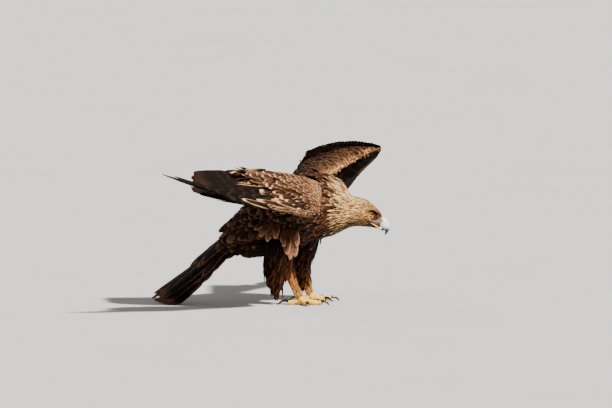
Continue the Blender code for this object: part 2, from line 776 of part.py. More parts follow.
def make_claw(name, base, way, size, foot):
    """A curved horn cone that leaves the top of the toe's end and comes down to the floor."""
    start = base - way * 3 + arr(0, 0, 1.5)
    heading = math.radians(26)
    here, path, sizes = start, [start], [CLAW_HALF]
    wide, deep = CLAW_HALF
    for k in range(CLAW_STEPS):
        share = (k + 1) / CLAW_STEPS
        angle = heading - CLAW_BEND * (share - 0.5 / CLAW_STEPS) * 1.35
        here = here + (way * math.cos(angle) + arr(0, 0, 1) * math.sin(angle)) * size * 1.12 / CLAW_STEPS
        path.append(arr(here[0], here[1], max(here[2], 0.9)))
        sizes.append((wide * (1 - share) ** 0.8 + 0.35, deep * (1 - share) ** 0.75 + 0.4))
    claw = tube(name, path, sizes, 6, across=(-way[1], way[0], 0))
    cut_plane(claw, (0, 0, 0.25), (0, 0, -1))
    keep_largest(claw)
    return cut_clear(claw, foot)


# The bill: rows along its middle line from the face to the hook, x and z, half its width and half
# its height.
UPPER_BILL = [
    (243, 257.5, 13, 17.5), (251.5, 253, 12, 18), (258.5, 248, 9.8, 16.5), (264, 241, 7.8, 13.5),
    (268, 233, 5.6, 9.5), (268.3, 224, 3.6, 5.6), (265.5, 216.5, 2.0, 2.8), (263.2, 211.5, 0.7, 0.9),
]
LOWER_BILL = [
    (226, 242, 12, 4.5), (238, 237.5, 10.5, 5.2), (249, 232.5, 8, 5.2), (256, 229, 5, 4.0),
    (259.5, 226.5, 2.2, 2.2),
]
NOSTRIL = (255, 12.2, 256, 2.6)     # the left one's centre, and its radius


def bill_solid(name, rows, count):
    rows = smooth_rows(rows, count)
    path = np.stack([rows[:, 0], rows[:, 0] * 0, rows[:, 1]], 1)
    return tube(name, path, rows[:, 2:], 12)


def lid_path(side, open_by, points=5):
    """The line of a lid round the eyeball, from its front corner to its rear one."""
    eye = arr(EYE_X, side * EYE_OUT, EYE_Z)
    pole = unit(arr(LOOK[0], side * LOOK[1], LOOK[2]))
    flank = unit(np.cross(arr(0, 0, 1), pole))
    up = np.cross(pole, flank)
    path = []
    for t in np.linspace(-1, 1, points):
        turn = math.radians(LID_ACROSS) * t
        rise = math.radians(open_by * (1 - abs(t) ** 2.2))
        out = pole * math.cos(turn) * math.cos(rise) + flank * math.sin(turn) + up * math.sin(rise)
        path.append(eye + unit(out) * (EYE_RADIUS + 0.4 * LID_THICK))
    return path, up


def make_face(head):
    """Eyes, lids, brows and both halves of the bill, each cut clear of the head."""
    extras = group("face")
    for side in (-1, 1):
        eye = arr(EYE_X, side * EYE_OUT, EYE_Z)
        ring = []
        for k in range(7):
            # The brow is a ridge that runs over the eye and down towards the bill.
            t = k / 6
            over = 12.5 - 8 * t + 5.5 * math.sin(math.pi * t)
            ring.append(eye + arr(-17 + 31 * t, side * (7.5 - 3.5 * t), over))
        swell = [math.sin(math.pi * (0.1 + 0.8 * k / 6)) for k in range(7)]
        tube(f"brow_{side}", ring, [(1.5 + 3.2 * w, 1.6 + 3.4 * w) for w in swell], 8, where=extras)
        for word, open_by in LID_OPEN.items():
            path, up = lid_path(side, open_by)
            sizes = [(LID_THICK, LID_THICK)] * len(path)
            tube(f"lid_{word}_{side}", path, sizes, 6, across=up, where=extras)
    union(head, extras)
    sockets = group("sockets")
    for side, word in ((-1, "right"), (1, "left")):
        eye = arr(EYE_X, side * EYE_OUT, EYE_Z)
        ball_at(f"eye_{word}", eye, EYE_RADIUS, 12, 8)
        ball_at("socket", eye, EYE_RADIUS + 2 * GAP, 12, 8, sockets)
    apply_boolean(head, sockets, "DIFFERENCE")
    upper = bill_solid("bill_upper", UPPER_BILL, 11)
    nostrils = group("nostrils")
    for side in (-1, 1):
        x, y, z, radius = NOSTRIL
        ball_at("nostril", arr(x, side * y, z), radius, 10, 8, nostrils)
    apply_boolean(upper, nostrils, "DIFFERENCE")
    lower = bill_solid("bill_lower", LOWER_BILL, 7)
    cut_clear(lower, upper)
    cut_clear(upper, head)
    cut_clear(lower, head)


def ball_at(name, centre, radius, around, rings, where=None):
    mesh = bmesh.new()
    bmesh.ops.create_uvsphere(mesh, u_segments=around, v_segments=rings, radius=radius * MM)
    data = bpy.data.meshes.new(name)
    mesh.to_mesh(data)
    mesh.free()
    data.transform(Matrix.Translation(centre * MM))
    made = bpy.data.objects.new(name, data)
    (where or parts_group()).objects.link(made)


COLOURS = {
    "head": ((0.42, 0.25, 0.11), 0.8), "neck": ((0.48, 0.29, 0.12), 0.8),
    "torso": ((0.12, 0.065, 0.035), 0.8), "tail": ((0.05, 0.032, 0.022), 0.7),
    "wing": ((0.15, 0.085, 0.048), 0.75), "thigh": ((0.07, 0.036, 0.02), 0.8),
    "tarsus": ((0.33, 0.18, 0.07), 0.8), "foot": ((0.80, 0.52, 0.05), 0.5),
    "claw": ((0.012, 0.012, 0.014), 0.3), "eye": ((0.05, 0.025, 0.01), 0.1),
    "bill": ((0.10, 0.12, 0.14), 0.35),
}


# Round pieces, whose facets are shaded as one curve. The others carry flat feathers.
ROUND = ("head", "eye", "bill", "tarsus", "foot", "claw")


def finish():
    """Gives each piece its colour and centres the whole over its footprint."""
    shown = list(parts_group().objects)
    corners = []
    for piece in shown:
        kind = piece.name.split("_")[0]
        piece.data.materials.clear()
        piece.data.materials.append(material(piece.name, *COLOURS[kind]))
        piece.data.polygons.foreach_set("use_smooth", [kind in ROUND] * len(piece.data.polygons))
        corners.append([v.co[:] for v in piece.data.vertices])
    corners = np.concatenate(corners)
    middle = (corners.min(0) + corners.max(0)) / 2
    for piece in shown:
        for vertex in piece.data.vertices:
            vertex.co.x -= middle[0]
            vertex.co.y -= middle[1]
    print("centred by", middle[:2])


def main():
    clear_scene()
    torso, neck, head = make_trunk()
    add_mantle(torso)
    add_hackles(neck, torso)
    make_face(head)
    arms = {}
    for name, wing in WINGS.items():
        arms[name] = make_arm(name, wing, torso, neck)
        make_hand(name, wing, arms[name])
    make_tail(torso)
    for name, leg in LEGS.items():
        thigh = make_thigh(name, leg, torso)
        tarsus = make_tarsus(name, leg, thigh)
        make_foot(name, leg, tarsus)
    finish()


main()
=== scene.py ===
import math

import bmesh
import bpy
import numpy as np
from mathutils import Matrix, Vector
from mathutils.bvhtree import BVHTree
from mathutils.kdtree import KDTree


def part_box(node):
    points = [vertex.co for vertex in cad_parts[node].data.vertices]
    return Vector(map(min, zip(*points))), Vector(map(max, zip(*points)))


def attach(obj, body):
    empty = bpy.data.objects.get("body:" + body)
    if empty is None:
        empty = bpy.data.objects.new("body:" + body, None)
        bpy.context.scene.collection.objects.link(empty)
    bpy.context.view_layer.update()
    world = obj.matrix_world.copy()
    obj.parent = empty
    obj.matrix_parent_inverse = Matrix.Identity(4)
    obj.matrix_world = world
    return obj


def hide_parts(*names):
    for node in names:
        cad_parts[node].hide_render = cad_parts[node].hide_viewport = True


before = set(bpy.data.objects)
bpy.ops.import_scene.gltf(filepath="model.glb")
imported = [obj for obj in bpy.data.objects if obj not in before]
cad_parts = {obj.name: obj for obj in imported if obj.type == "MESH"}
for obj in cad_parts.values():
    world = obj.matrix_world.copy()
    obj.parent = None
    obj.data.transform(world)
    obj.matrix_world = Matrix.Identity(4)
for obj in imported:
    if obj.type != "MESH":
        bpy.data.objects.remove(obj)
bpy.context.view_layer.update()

# The studio: a wide pale floor, a lamp high on the right, a weak broad one behind the bird, a fill of pale
# air, and a long lens at the height and distance from which the bird is seen in the picture.
MM = 0.001
PIXEL = 3.1                     # one pixel of the picture on the bird, in millimetres
PICTURE_WIDTH, PICTURE_HEIGHT = 612, 408
ORIGIN_PIXEL = (300, 303)       # where the bird's own origin on the floor falls in the picture
CAMERA_RISE = math.radians(5)
CAMERA_FAR = 20.0
SENSOR = 36.0
LEVEL, STEEP = math.cos(CAMERA_RISE), math.sin(CAMERA_RISE)
EYE_AT = np.array([233.0, 20.5, 268.5])     # the left eyeball's centre in the bird's own millimetres
EYE_RADIUS = 10.0
DEEPER = 1.30                   # soft light washes colours out, so each is made a little deeper
LAMPS = (
    # Name, the way its light goes, its strength and how many degrees of the sky it fills.
    ("key", (-0.62, 0.60, -0.90), 12.4, 3),
    ("rim", (0.5, -0.7, -0.5), 0.7, 25),
)


def srgb(red, green, blue):
    """A colour as seen on a screen, 0 to 255, turned into the linear one that shaders use."""
    return ((np.array([red, green, blue]) / 255 + 0.055) / 1.055) ** (2.4 * DEEPER)


# Where the bird's own origin lies in the frame, found from its left eye.
low, high = (np.array(corner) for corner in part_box("eye_left"))
SHIFT = (low + high) / 2 - EYE_AT * MM
SHIFT[2] = 0

half_wide = PICTURE_WIDTH / 2 * PIXEL * MM
view_right = (PICTURE_WIDTH / 2 - ORIGIN_PIXEL[0]) * PIXEL * MM
view_up = (ORIGIN_PIXEL[1] - PICTURE_HEIGHT / 2) * PIXEL * MM
target = np.array([view_right, view_up * STEEP, view_up * LEVEL]) + SHIFT
camera = bpy.data.objects.new("camera", bpy.data.cameras.new("camera"))
camera.data.sensor_width = SENSOR
camera.data.lens = SENSOR * CAMERA_FAR / (2 * half_wide)
camera.data.clip_end = 200
camera.location = target + np.array([0, -CAMERA_FAR * LEVEL, CAMERA_FAR * STEEP])
camera.rotation_euler = (math.pi / 2 - CAMERA_RISE, 0, 0)
bpy.context.scene.collection.objects.link(camera)
bpy.context.scene.camera = camera

for name, way, strength, wide in LAMPS:
    lamp = bpy.data.objects.new(name, bpy.data.lights.new(name, "SUN"))
    lamp.data.energy = strength
    lamp.data.angle = math.radians(wide)
    lamp.rotation_euler = Vector(way).to_track_quat("-Z", "Y").to_euler()
    bpy.context.scene.collection.objects.link(lamp)
world = bpy.data.worlds.new("studio_air")
world.use_nodes = True
air = world.node_tree.nodes["Background"].inputs
air["Color"].default_value = (0.93, 0.96, 1.0, 1)
air["Strength"].default_value = 0.34
bpy.context.scene.world = world


class Socket:
    """One output of a material's nodes, on which ordinary sums add Math nodes."""

    def __init__(self, finish, plug):
        self.finish = finish
        self.plug = plug

    def sum(self, operation, *others, flipped=False):
        values = [self, *others]
        if flipped:
            values.reverse()
        return self.finish.node("ShaderNodeMath", {"operation": operation}, dict(enumerate(values)))

    def __add__(self, other):
        return self.sum("ADD", other)

    def __radd__(self, other):
        return self.sum("ADD", other, flipped=True)

    def __sub__(self, other):
        return self.sum("SUBTRACT", other)

    def __rsub__(self, other):
        return self.sum("SUBTRACT", other, flipped=True)

    def __mul__(self, other):
        return self.sum("MULTIPLY", other)

    def __rmul__(self, other):
        return self.sum("MULTIPLY", other, flipped=True)

    def __abs__(self):
        return self.sum("ABSOLUTE")

    def sine(self):
        return self.sum("SINE")

    def ramp(self, low, high):
        """0 below low, 1 above high, and smooth between them."""
        return self.finish.node(
            "ShaderNodeMapRange", {"interpolation_type": "SMOOTHSTEP"},
            {"Value": self, "From Min": low, "From Max": high},
        )


class Finish:
    """A material whose nodes are added one by one to its Principled shader."""

    def __init__(self, name, **constants):
        self.material = bpy.data.materials.new(name)
        self.material.use_nodes = True
        self.tree = self.material.node_tree
        self.shader = self.tree.nodes["Principled BSDF"]
        for key, value in constants.items():
            self.shader.inputs[key.replace("_", " ")].default_value = value
        self.place = self.node("ShaderNodeNewGeometry")

    def node(self, kind, settings=None, values=None, output=0):
        made = self.tree.nodes.new(kind)
        for key, value in (settings or {}).items():
            setattr(made, key, value)
        for key, value in (values or {}).items():
            self.feed(made.inputs[key], value)
        return Socket(self, made.outputs[output])

    def feed(self, plug, value):
        if isinstance(value, Socket):
            self.tree.links.new(value.plug, plug)
        elif plug.type == "RGBA":
            plug.default_value = (*value, 1)
        else:
            plug.default_value = value

    def blend(self, factor, first, second, way="MIX"):
        """Two colours mixed by a factor."""
        return self.node(
            "ShaderNodeMix", {"data_type": "RGBA", "blend_type": way},
            {0: factor, 6: first, 7: second}, output=2,
        )

    def shaded(self, colour, shade):
        return self.blend(1.0, colour, shade, "MULTIPLY")

    def part(self, vector, axis):
        """One number out of a vector."""
        return self.node("ShaderNodeSeparateXYZ", None, {0: vector}, output=axis)

    def attribute(self, name, output=0):
        return self.node("ShaderNodeAttribute", {"attribute_name": name}, output=output)

    def noise(self, scale):
        return self.node("ShaderNodeTexNoise", None, {"Vector": self.place, "Scale": scale, "Detail": 3.0})

    def bump(self, height, strength, distance):
        values = {"Height": height, "Strength": strength, "Distance": distance}
        self.set("Normal", self.node("ShaderNodeBump", None, values))

    def set(self, name, value):
        self.feed(self.shader.inputs[name], value)


def clouded(name, scale, first, second, **constants):
    """A finish whose colour wanders between two, with the noise that it wanders by."""
    finish = Finish(name, **constants)
    cloud = finish.noise(scale)
    finish.set("Base Color", finish.blend(cloud, first, second))
    return finish, cloud


floor_finish, _ = clouded("studio_floor", 1.5, srgb(188, 186, 182), srgb(196, 194, 190), Roughness=0.85)
bpy.ops.mesh.primitive_plane_add(size=160)
floor = bpy.context.object
floor.name = "studio_floor"
floor.data.materials.append(floor_finish.material)

# The body under the plumage: skin over flesh, with trunk, neck and head as one form. Out of it grow the
# wings' arms and hands, the thighs, the shanks and the tail's root, all fused into one closed skin.
BODY_OUTLINE = [
    # For each section from the tail to the face: x and z of its top and of its bottom, and half its width.
    (-220, 250, -174, 152, 36), (-192, 284, -154, 140, 54), (-155, 315, -118, 146, 70),
    (-99, 349, -68, 157, 82), (-37, 378, -25, 167, 90), (19, 396, 19, 183, 92),
    (68, 404, 62, 197, 86), (109, 393, 99, 208, 75), (133, 372, 133, 222, 62),
    (155, 341, 158, 233, 50), (177, 333, 180, 237, 43), (202, 325, 202, 237, 38),
    (223, 310, 219, 236, 33), (242, 291, 234, 233, 26), (255, 273, 247, 231, 17),
]
# How deep the coat lies over the skin, from the root of the tail (0) to the face (1).
COAT_DEPTH = ((0, 8), (0.1, 12), (0.45, 13), (0.6, 10), (0.7, 6), (0.8, 3.5), (1, 1.6))
BODY_ROUND = 2.15               # how square the body's sections are, 2 being an oval
SKIN_GRAIN = 2.6                # the size of the cells in which the forms are fused
rng = np.random.default_rng(11)


def arr(*numbers):
    return np.array(numbers, float)


def unit(vector):
    vector = np.asarray(vector, float)
    return vector / np.maximum(np.linalg.norm(vector, axis=-1, keepdims=True), 1e-9)


def mix(a, b, t):
    return a + (b - a) * t


def smooth_rows(rows, count):
    """Rows of numbers read along a smooth curve through the given ones."""
    rows = np.array(rows, float)
    last = len(rows) - 1
    place = np.linspace(0, last, count)
    i = np.minimum(place.astype(int), last - 1)
    f = (place - i).reshape((-1,) + (1,) * (rows.ndim - 1))
    a, b, c, d = (rows[np.clip(i + k, 0, last)] for k in (-1, 0, 1, 2))
    return 0.5 * (2 * b + (c - a) * f + (2 * a - 5 * b + 4 * c - d) * f**2 + (3 * b - a - 3 * c + d) * f**3)


def read(table, place):
    """Values from a short table of places and values, read at each place."""
    places, values = zip(*table)
    values = np.array(values, float)
    if values.ndim == 1:
        return np.interp(place, places, values)
    return np.stack([np.interp(place, places, column) for column in values.T], -1)


def rounded(angles, power):
    c, s = np.cos(angles), np.sin(angles)
    return np.sign(c) * abs(c) ** (2 / power), np.sign(s) * abs(s) ** (2 / power)


def turns(sides):
    return np.linspace(0, 2 * math.pi, sides, endpoint=False)


def body_rows(stations, sides):
    """The body's skin as rings from the face to the tail. Each starts at the left and goes over the top."""
    share = np.linspace(1, 0, stations)
    rows = smooth_rows(BODY_OUTLINE, 401)[np.round(share * 400).astype(int)]
    top = np.stack([rows[:, 0], rows[:, 0] * 0, rows[:, 1]], -1)
    base = np.stack([rows[:, 2], rows[:, 0] * 0, rows[:, 3]], -1)
    depth = read(COAT_DEPTH, share)
    up = unit(top - base) * (np.linalg.norm(top - base, axis=1) / 2 - depth)[:, None]
    wide = arr(0, 1, 0) * (rows[:, 4] - depth)[:, None]
    c, s = rounded(turns(sides), BODY_ROUND)
    return ((top + base) / 2)[:, None] + wide[:, None] * c[:, None] + up[:, None] * s[:, None]


def tube_rows(path, sizes, sides, across=(0, 1, 0), power=2.0):
    """Rings along a path, whose rows of sizes are half its width and half its depth."""
    path, sizes = np.asarray(path, float), np.asarray(sizes, float)
    ahead = unit(np.gradient(path, axis=0))
    across = unit(np.asarray(across, float))
    side = unit(across - ahead * (ahead @ across)[:, None])
    up = np.cross(ahead, side)
    c, s = rounded(turns(sides), power)
    return (path[:, None] + side[:, None] * sizes[:, :1, None] * c[:, None]
            + up[:, None] * sizes[:, 1:, None] * s[:, None])


def shade_smooth(made):
    made.data.polygons.foreach_set("use_smooth", [True] * len(made.data.polygons))


def loft(name, rings):
    """A closed solid through rings of equal length, in the bird's millimetres, with a fan at each end."""
    count, sides = rings.shape[:2]
    points = np.concatenate([rings.reshape(-1, 3), [rings[0].mean(0)], [rings[-1].mean(0)]])
    first, last = count * sides, count * sides + 1
    faces = []
    for r in range(count - 1):
        for s in range(sides):
            n = (s + 1) % sides
            faces.append((r * sides + s, r * sides + n, (r + 1) * sides + n, (r + 1) * sides + s))
    for s in range(sides):
        n = (s + 1) % sides
        faces.append((first, n, s))
        faces.append((last, (count - 1) * sides + s, (count - 1) * sides + n))
    data = bpy.data.meshes.new(name)
    data.from_pydata((points * MM + SHIFT).tolist(), [], faces)
    mesh = bmesh.new()
    mesh.from_mesh(data)
    bmesh.ops.recalc_face_normals(mesh, faces=mesh.faces)
    if mesh.calc_volume(signed=True) < 0:
        bmesh.ops.reverse_faces(mesh, faces=mesh.faces)
    mesh.to_mesh(data)
    mesh.free()
    made = bpy.data.objects.new(name, data)
    bpy.context.scene.collection.objects.link(made)
    shade_smooth(made)
    return made


# Each wing's joints, where its feathers aim, the lengths of its secondaries, and how far its front edge is
# hollowed, its rear edge raised and its quills bent down.
WINGS = {
    "right": {
        "side": -1, "shoulder": arr(68, -66, 371), "elbow": arr(-108, -140, 403), "wrist": arr(48, -288, 297),
        "hand_end": arr(-74, -392, 328), "arm_aims": (arr(-0.985, 0.03, -0.08), arr(-0.970, -0.03, 0.245)),
        "hand_aims": (arr(-0.965, -0.20, 0.19), arr(-0.790, -0.590, 0.290)),
        "lengths": (205, 345), "hollow": 3.0, "ridge": 4.0, "droop": 4.0,
    },
    "left": {
        "side": 1, "shoulder": arr(82, 66, 380), "elbow": arr(52, 232, 440), "wrist": arr(240, 225, 458),
        "hand_end": arr(178, 342, 379), "arm_aims": (arr(-0.40, 0.42, -0.81), arr(-0.62, 0.58, -0.53)),
        "hand_aims": (arr(-0.60, 0.60, -0.53), arr(-0.42, 0.74, -0.52)),
        "lengths": (215, 335), "hollow": 14.0, "ridge": 20.0, "droop": 16.0,
    },
}
ARM_COAT = 3.5                  # how far the arm's skin lies under its small feathers
ARM_SECTIONS = ((0.0, 40, 6), (0.25, 32, 13), (0.5, 30, 18), (0.75, 28, 14), (0.93, 27, 6))


def ridge(wing, s):
    """How far the rear edge of the arm is raised between the elbow and the wrist."""
    return wing["ridge"] * 4 * s * (1 - s)


def arm_sheets(wing, spans, chords):
    """The arm's upper and lower skin as rows from its front edge to its rear one."""
    shoulder, elbow, wrist, side = (wing[k] for k in ("shoulder", "elbow", "wrist", "side"))
    normal = unit(np.cross(elbow - shoulder, wrist - shoulder) * -side)
    aim = unit(wing["arm_aims"][1])
    ahead = unit(wrist - elbow)
    fronts = [arr(shoulder[0] + 4, side * 34, shoulder[2] - 2)]
    rears = [arr(shoulder[0] - 106, side * 34, shoulder[2] - 6)]
    shapes = [(46, 0)]
    for s, thick, arch in ARM_SECTIONS:
        front = mix(shoulder, wrist, s) - aim * (12 + 6 * s) * (1 if s > 0.1 else 0.2)
        fronts.append(front + aim * wing["hollow"] * 4 * s * (1 - s))
        rear = mix(elbow, wrist, s) + aim * mix(26, 20, s) + ahead * mix(-14, 0, s)
        rears.append(rear + arr(0, 0, ridge(wing, s)))
        shapes.append((thick, arch))
    fronts.append(wrist - aim * 15 + ahead * 12)
    rears.append(wrist + aim * 12 + ahead * 10)
    shapes.append((20, 1))
    front, rear, shape = (smooth_rows(rows, spans) for rows in (fronts, rears, shapes))
    front = front + unit(rear - front) * ARM_COAT
    along = (0.5 - 0.5 * np.cos(np.linspace(0, math.pi, chords)))[:, None]
    thick, arch = shape[:, 0] - 2 * ARM_COAT, shape[:, 1]
    skin = 2 * np.sqrt(along * (1 - along)) * along**0.3 * (1 - 0.62 * along) * thick * 0.62
    bow = arch * 3 * along * (1 - along)
    chord = front + (rear - front) * along[..., None]
    return chord + normal * (bow + skin)[..., None], chord + normal * (bow - skin)[..., None]


def hand_normal(wing):
    return unit(np.cross(*wing["hand_aims"]) * -wing["side"])


def hand_rows(wing):
    wrist, tip = wing["wrist"], wing["hand_end"]
    ahead = unit(tip - wrist)
    trail = unit(np.cross(hand_normal(wing), ahead) * -wing["side"])
    path = [wrist + ahead * step for step in (2, 40, 85)] + [tip, tip + unit(wing["hand_aims"][1]) * 22]
    sizes = smooth_rows([(12, 9), (14, 8), (12, 6), (8, 4), (3, 2)], 24)
    return tube_rows(smooth_rows(path, 24) + trail * 6, sizes, 20, across=trail)


# The thighs' sections are centre and half sizes. The shank runs from the heel to the ankle, and each toe
# has its heading in degrees, its length and its claw's length.
LEGS = {
    "right": {
        "foot": (4, -56),
        "thigh": [
            (-52, -48, 232, 62, 36), (-57, -60, 196, 60, 42), (-63, -62, 160, 51, 38),
            (-70, -62, 128, 44, 33), (-75, -60, 96, 37, 27), (-76, -58, 66, 28, 20), (-73, -56, 44, 14, 11),
        ],
        "tarsus": [(-44, -58, 140), (-35, -58, 104), (-20, -57, 66), (-5, -56, 32), (2, -56, 19)],
        "toes": {
            "middle": (-6, 62, 33), "inner": (26, 46, 36), "outer": (-68, 46, 30), "hind": (176, 40, 46),
        },
    },
    "left": {
        "foot": (36, 58),
        "thigh": [
            (14, 48, 232, 60, 36), (10, 60, 196, 56, 42), (6, 62, 160, 44, 38), (4, 62, 128, 36, 31),
            (2, 61, 100, 31, 25), (3, 60, 78, 25, 19), (6, 60, 60, 13, 11),
        ],
        "tarsus": [(4, 60, 140), (10, 60, 104), (19, 59, 66), (28, 58, 32), (33, 58, 19)],
        "toes": {
            "middle": (8, 62, 33), "inner": (-24, 46, 36), "outer": (52, 46, 30), "hind": (186, 40, 46),
        },
    },
}
TROUSER_COAT = 9.0
SHANK_COAT = 2.5


def thigh_rows(leg, stations, sides):
    rows = smooth_rows(leg["thigh"], stations)
    turn = turns(sides)
    sizes = np.maximum(rows[:, 3:] - TROUSER_COAT, 4)
    ring = [np.cos(turn) * sizes[:, :1], np.sin(turn) * sizes[:, 1:], 0 * turn * sizes[:, :1]]
    return rows[:, None, :3] + np.stack(ring, -1)


def shank_rows(leg, stations, sides):
    sizes = smooth_rows([(14, 18), (13, 17), (12, 14), (12, 13), (11, 11)], stations) - SHANK_COAT
    return tube_rows(smooth_rows(leg["tarsus"], stations), sizes, sides)


TAIL_ROOT = arr(-193, 0, 216)
TAIL_SLOPE, TAIL_ROLL = math.radians(44), math.radians(33)
TAIL_LENGTH = 345.0
tail_aim = arr(-math.cos(TAIL_SLOPE), 0, -math.sin(TAIL_SLOPE))
tail_up = (arr(-math.sin(TAIL_SLOPE), 0, math.cos(TAIL_SLOPE)) * math.cos(TAIL_ROLL)
           + arr(0, -1, 0) * math.sin(TAIL_ROLL))
tail_across = np.cross(tail_aim, tail_up)


def rump_rows(stations, sides):
    places = ((-25, 4), (0, 8), (40, 10), (80, 7), (112, 3))
    path = [TAIL_ROOT + tail_aim * step - tail_up * sag for step, sag in places]
    sizes = smooth_rows([(24, 35), (28, 39), (28, 32), (23, 19), (16, 5)], stations)
    return tube_rows(smooth_rows(path, stations), sizes, sides, across=tail_across)


def fuse(pieces, name, voxel, soften):
    """Joins closed overlapping pieces into one smooth surface."""
    bpy.context.view_layer.update()
    for chosen in list(bpy.context.selected_objects):
        chosen.select_set(False)
    for piece in pieces:
        piece.select_set(True)
    bpy.context.view_layer.objects.active = pieces[0]
    bpy.ops.object.join()
    made = bpy.context.view_layer.objects.active
    made.name = name
    melt = made.modifiers.new("melt", "REMESH")
    melt.mode = "VOXEL"
    melt.voxel_size = voxel * MM
    smooth = made.modifiers.new("soften", "SMOOTH")
    smooth.factor = 0.5
    smooth.iterations = soften
    for step in ("melt", "soften"):
        bpy.ops.object.modifier_apply(modifier=step)
    made.select_set(False)
    shade_smooth(made)
    return made


forms = [loft("trunk", body_rows(81, 64))]
for wing in WINGS.values():
    top, under = arm_sheets(wing, 40, 17)
    forms.append(loft("arm", np.concatenate([top, under[-2:0:-1]]).swapaxes(0, 1)))
    forms.append(loft("hand", hand_rows(wing)))
for leg in LEGS.values():
    forms.append(loft("thigh", thigh_rows(leg, 24, 32)))
    forms.append(loft("shank", shank_rows(leg, 20, 24)))
forms.append(loft("rump", rump_rows(16, 32)))
# A ridge of bone over each eye, under which it is set deep.
for side in (-1, 1):
    t = np.linspace(0, 1, 12)
    brow = [-17 + 31 * t, side * (6.0 - 3.5 * t), 11.6 - 8 * t + 5.5 * np.sin(math.pi * t)]
    brow = EYE_AT * arr(1, side, 1) + np.stack(brow, -1)
    thick = 1.3 + 2.8 * np.sin(math.pi * (0.1 + 0.8 * t))
    forms.append(loft("brow", tube_rows(brow, np.stack([thick, thick], -1), 12)))
brow_line = abs(brow)
skin = fuse(forms, "skin", SKIN_GRAIN, 5)


def at_vertices(made, kind):
    values = np.empty(len(made.data.vertices) * 3)
    made.data.vertices.foreach_get(kind, values)
    return values.reshape(-1, 3)


skin_points = (at_vertices(skin, "co") - SHIFT) / MM
skin_normals = at_vertices(skin, "normal")
skin_faces = [tuple(f.vertices) for f in skin.data.polygons]
skin_tree = BVHTree.FromPolygons(skin_points.tolist(), skin_faces)
corner_of = np.array([f[:3] for f in skin_faces])


def on_skin(points):
    """The nearest places on the skin, with the outward directions there."""
    spots, faces = np.empty((len(points), 3)), np.empty(len(points), int)
    for k, point in enumerate(points.tolist()):
        spots[k], _, faces[k], _ = skin_tree.find_nearest(point)
    return spots, unit(skin_normals[corner_of[faces]].mean(1))


# The plumage of trunk, neck and head: golden hackles on the nape, rounded brown feathers on back and
# breast, and tiny ones on the face. It is laid feather by feather as it grows, backward from the bill:
# each is a thin closed vane with a raised shaft, rooted in the skin and lying on the next row like slates.
ROOT_PATCH = 0.003              # a feather's size on the map of the skin
FLOOR_CLEAR = 0.4               # no feather comes nearer to the floor
ROOT_SINK = 1.0                 # how deep a small feather's root sits in the skin
RAGGED = 0.12                   # the share by which worn edges wander
ROLL = 4                        # how many degrees a small feather leans to one side, as a spread
BARS = 9.0                      # dark and pale bars along a quill
# Each form's place on that map: left, bottom, width and height.
MAP_CELLS = {
    "trunk": (0.02, 0.02, 0.46, 0.60), "arm_right_top": (0.02, 0.66, 0.22, 0.30),
    "arm_left_top": (0.26, 0.66, 0.22, 0.30), "arm_right_under": (0.52, 0.66, 0.22, 0.30),
    "arm_left_under": (0.76, 0.66, 0.22, 0.30), "thigh_right": (0.52, 0.34, 0.22, 0.28),
    "thigh_left": (0.76, 0.34, 0.22, 0.28), "shank_right": (0.52, 0.18, 0.10, 0.14),
    "shank_left": (0.64, 0.18, 0.10, 0.14), "hand_right": (0.76, 0.18, 0.10, 0.14),
    "hand_left": (0.88, 0.18, 0.10, 0.14), "rump": (0.52, 0.02, 0.20, 0.14), "tail": (0.76, 0.02, 0.20, 0.14),
}
# Where the feathers' cross-sections have points, from one edge (-1) to the other (1).
FINE, MEDIUM, BROAD = (-1, 0, 1), (-1, -0.5, 0, 0.5, 1), (-1, -0.66, -0.3, 0, 0.3, 0.66, 1)
STIFF = (-1, -0.66, -0.33, -0.06, 0, 0.06, 0.33, 0.66, 1)
# By place from the face (0) to the root of the tail (1): screen colours of the back, flank and belly, then
# the gap between rows, and the feathers' length, width and how pointed and pale-rimmed they are.
TOP_TONES = (
    (0, (150, 84, 58)), (0.05, (176, 106, 72)), (0.10, (242, 182, 118)), (0.2, (255, 220, 158)),
    (0.32, (255, 214, 148)), (0.37, (244, 190, 134)), (0.42, (144, 104, 76)), (0.47, (86, 62, 46)),
    (0.6, (58, 43, 33)), (1, (56, 43, 34)),
)
SIDE_TONES = (
    (0, (214, 204, 192)), (0.05, (200, 160, 120)), (0.10, (222, 156, 98)), (0.16, (254, 200, 130)),
    (0.33, (255, 212, 142)), (0.39, (228, 164, 108)), (0.43, (140, 96, 64)), (0.49, (84, 57, 41)),
    (0.6, (56, 41, 32)), (1, (50, 38, 30)),
)
# The belly's colours are its own dark brown, with painted shade darkening the chin and throat.
UNDER_TONES = (
    (0, (110, 76, 50)), (0.1, (62, 40, 27)), (0.28, (92, 56, 34)), (0.38, (88, 54, 33)),
    (0.55, (60, 39, 26)), (1, (50, 36, 27)),
)
GAPS = ((0, 2.2), (0.07, 3.0), (0.14, 3.8), (0.22, 5.6), (0.30, 7.2), (0.40, 9.6), (0.55, 13.0), (1, 14.0))
LENGTHS = ((0, 5), (0.07, 9), (0.14, 14), (0.20, 28), (0.28, 44), (0.36, 52), (0.5, 58), (1, 66))
WIDTHS = (
    (0, 2.4), (0.07, 3.8), (0.14, 5.4), (0.22, 8.0), (0.30, 10), (0.42, 12), (0.49, 18), (0.6, 26), (1, 32),
)
POINTED = ((0, 0.4), (0.14, 0.6), (0.2, 1.0), (0.36, 0.95), (0.46, 0.55), (0.6, 0.2), (1, 0.1))
RIMMED = ((0, 0.2), (0.15, 0.5), (0.3, 0.85), (0.44, 0.8), (0.46, 0.55), (0.55, 0.36), (1, 0.3))
FACE_END, NECK_END, TAIL_END = 0.155, 0.45, 1.01
# The naked corner of the mouth, which runs from under the eye to the bill.
GAPE_LINE = arr([217, 26, 253], [233, 21, 243], [250, 13, 231])


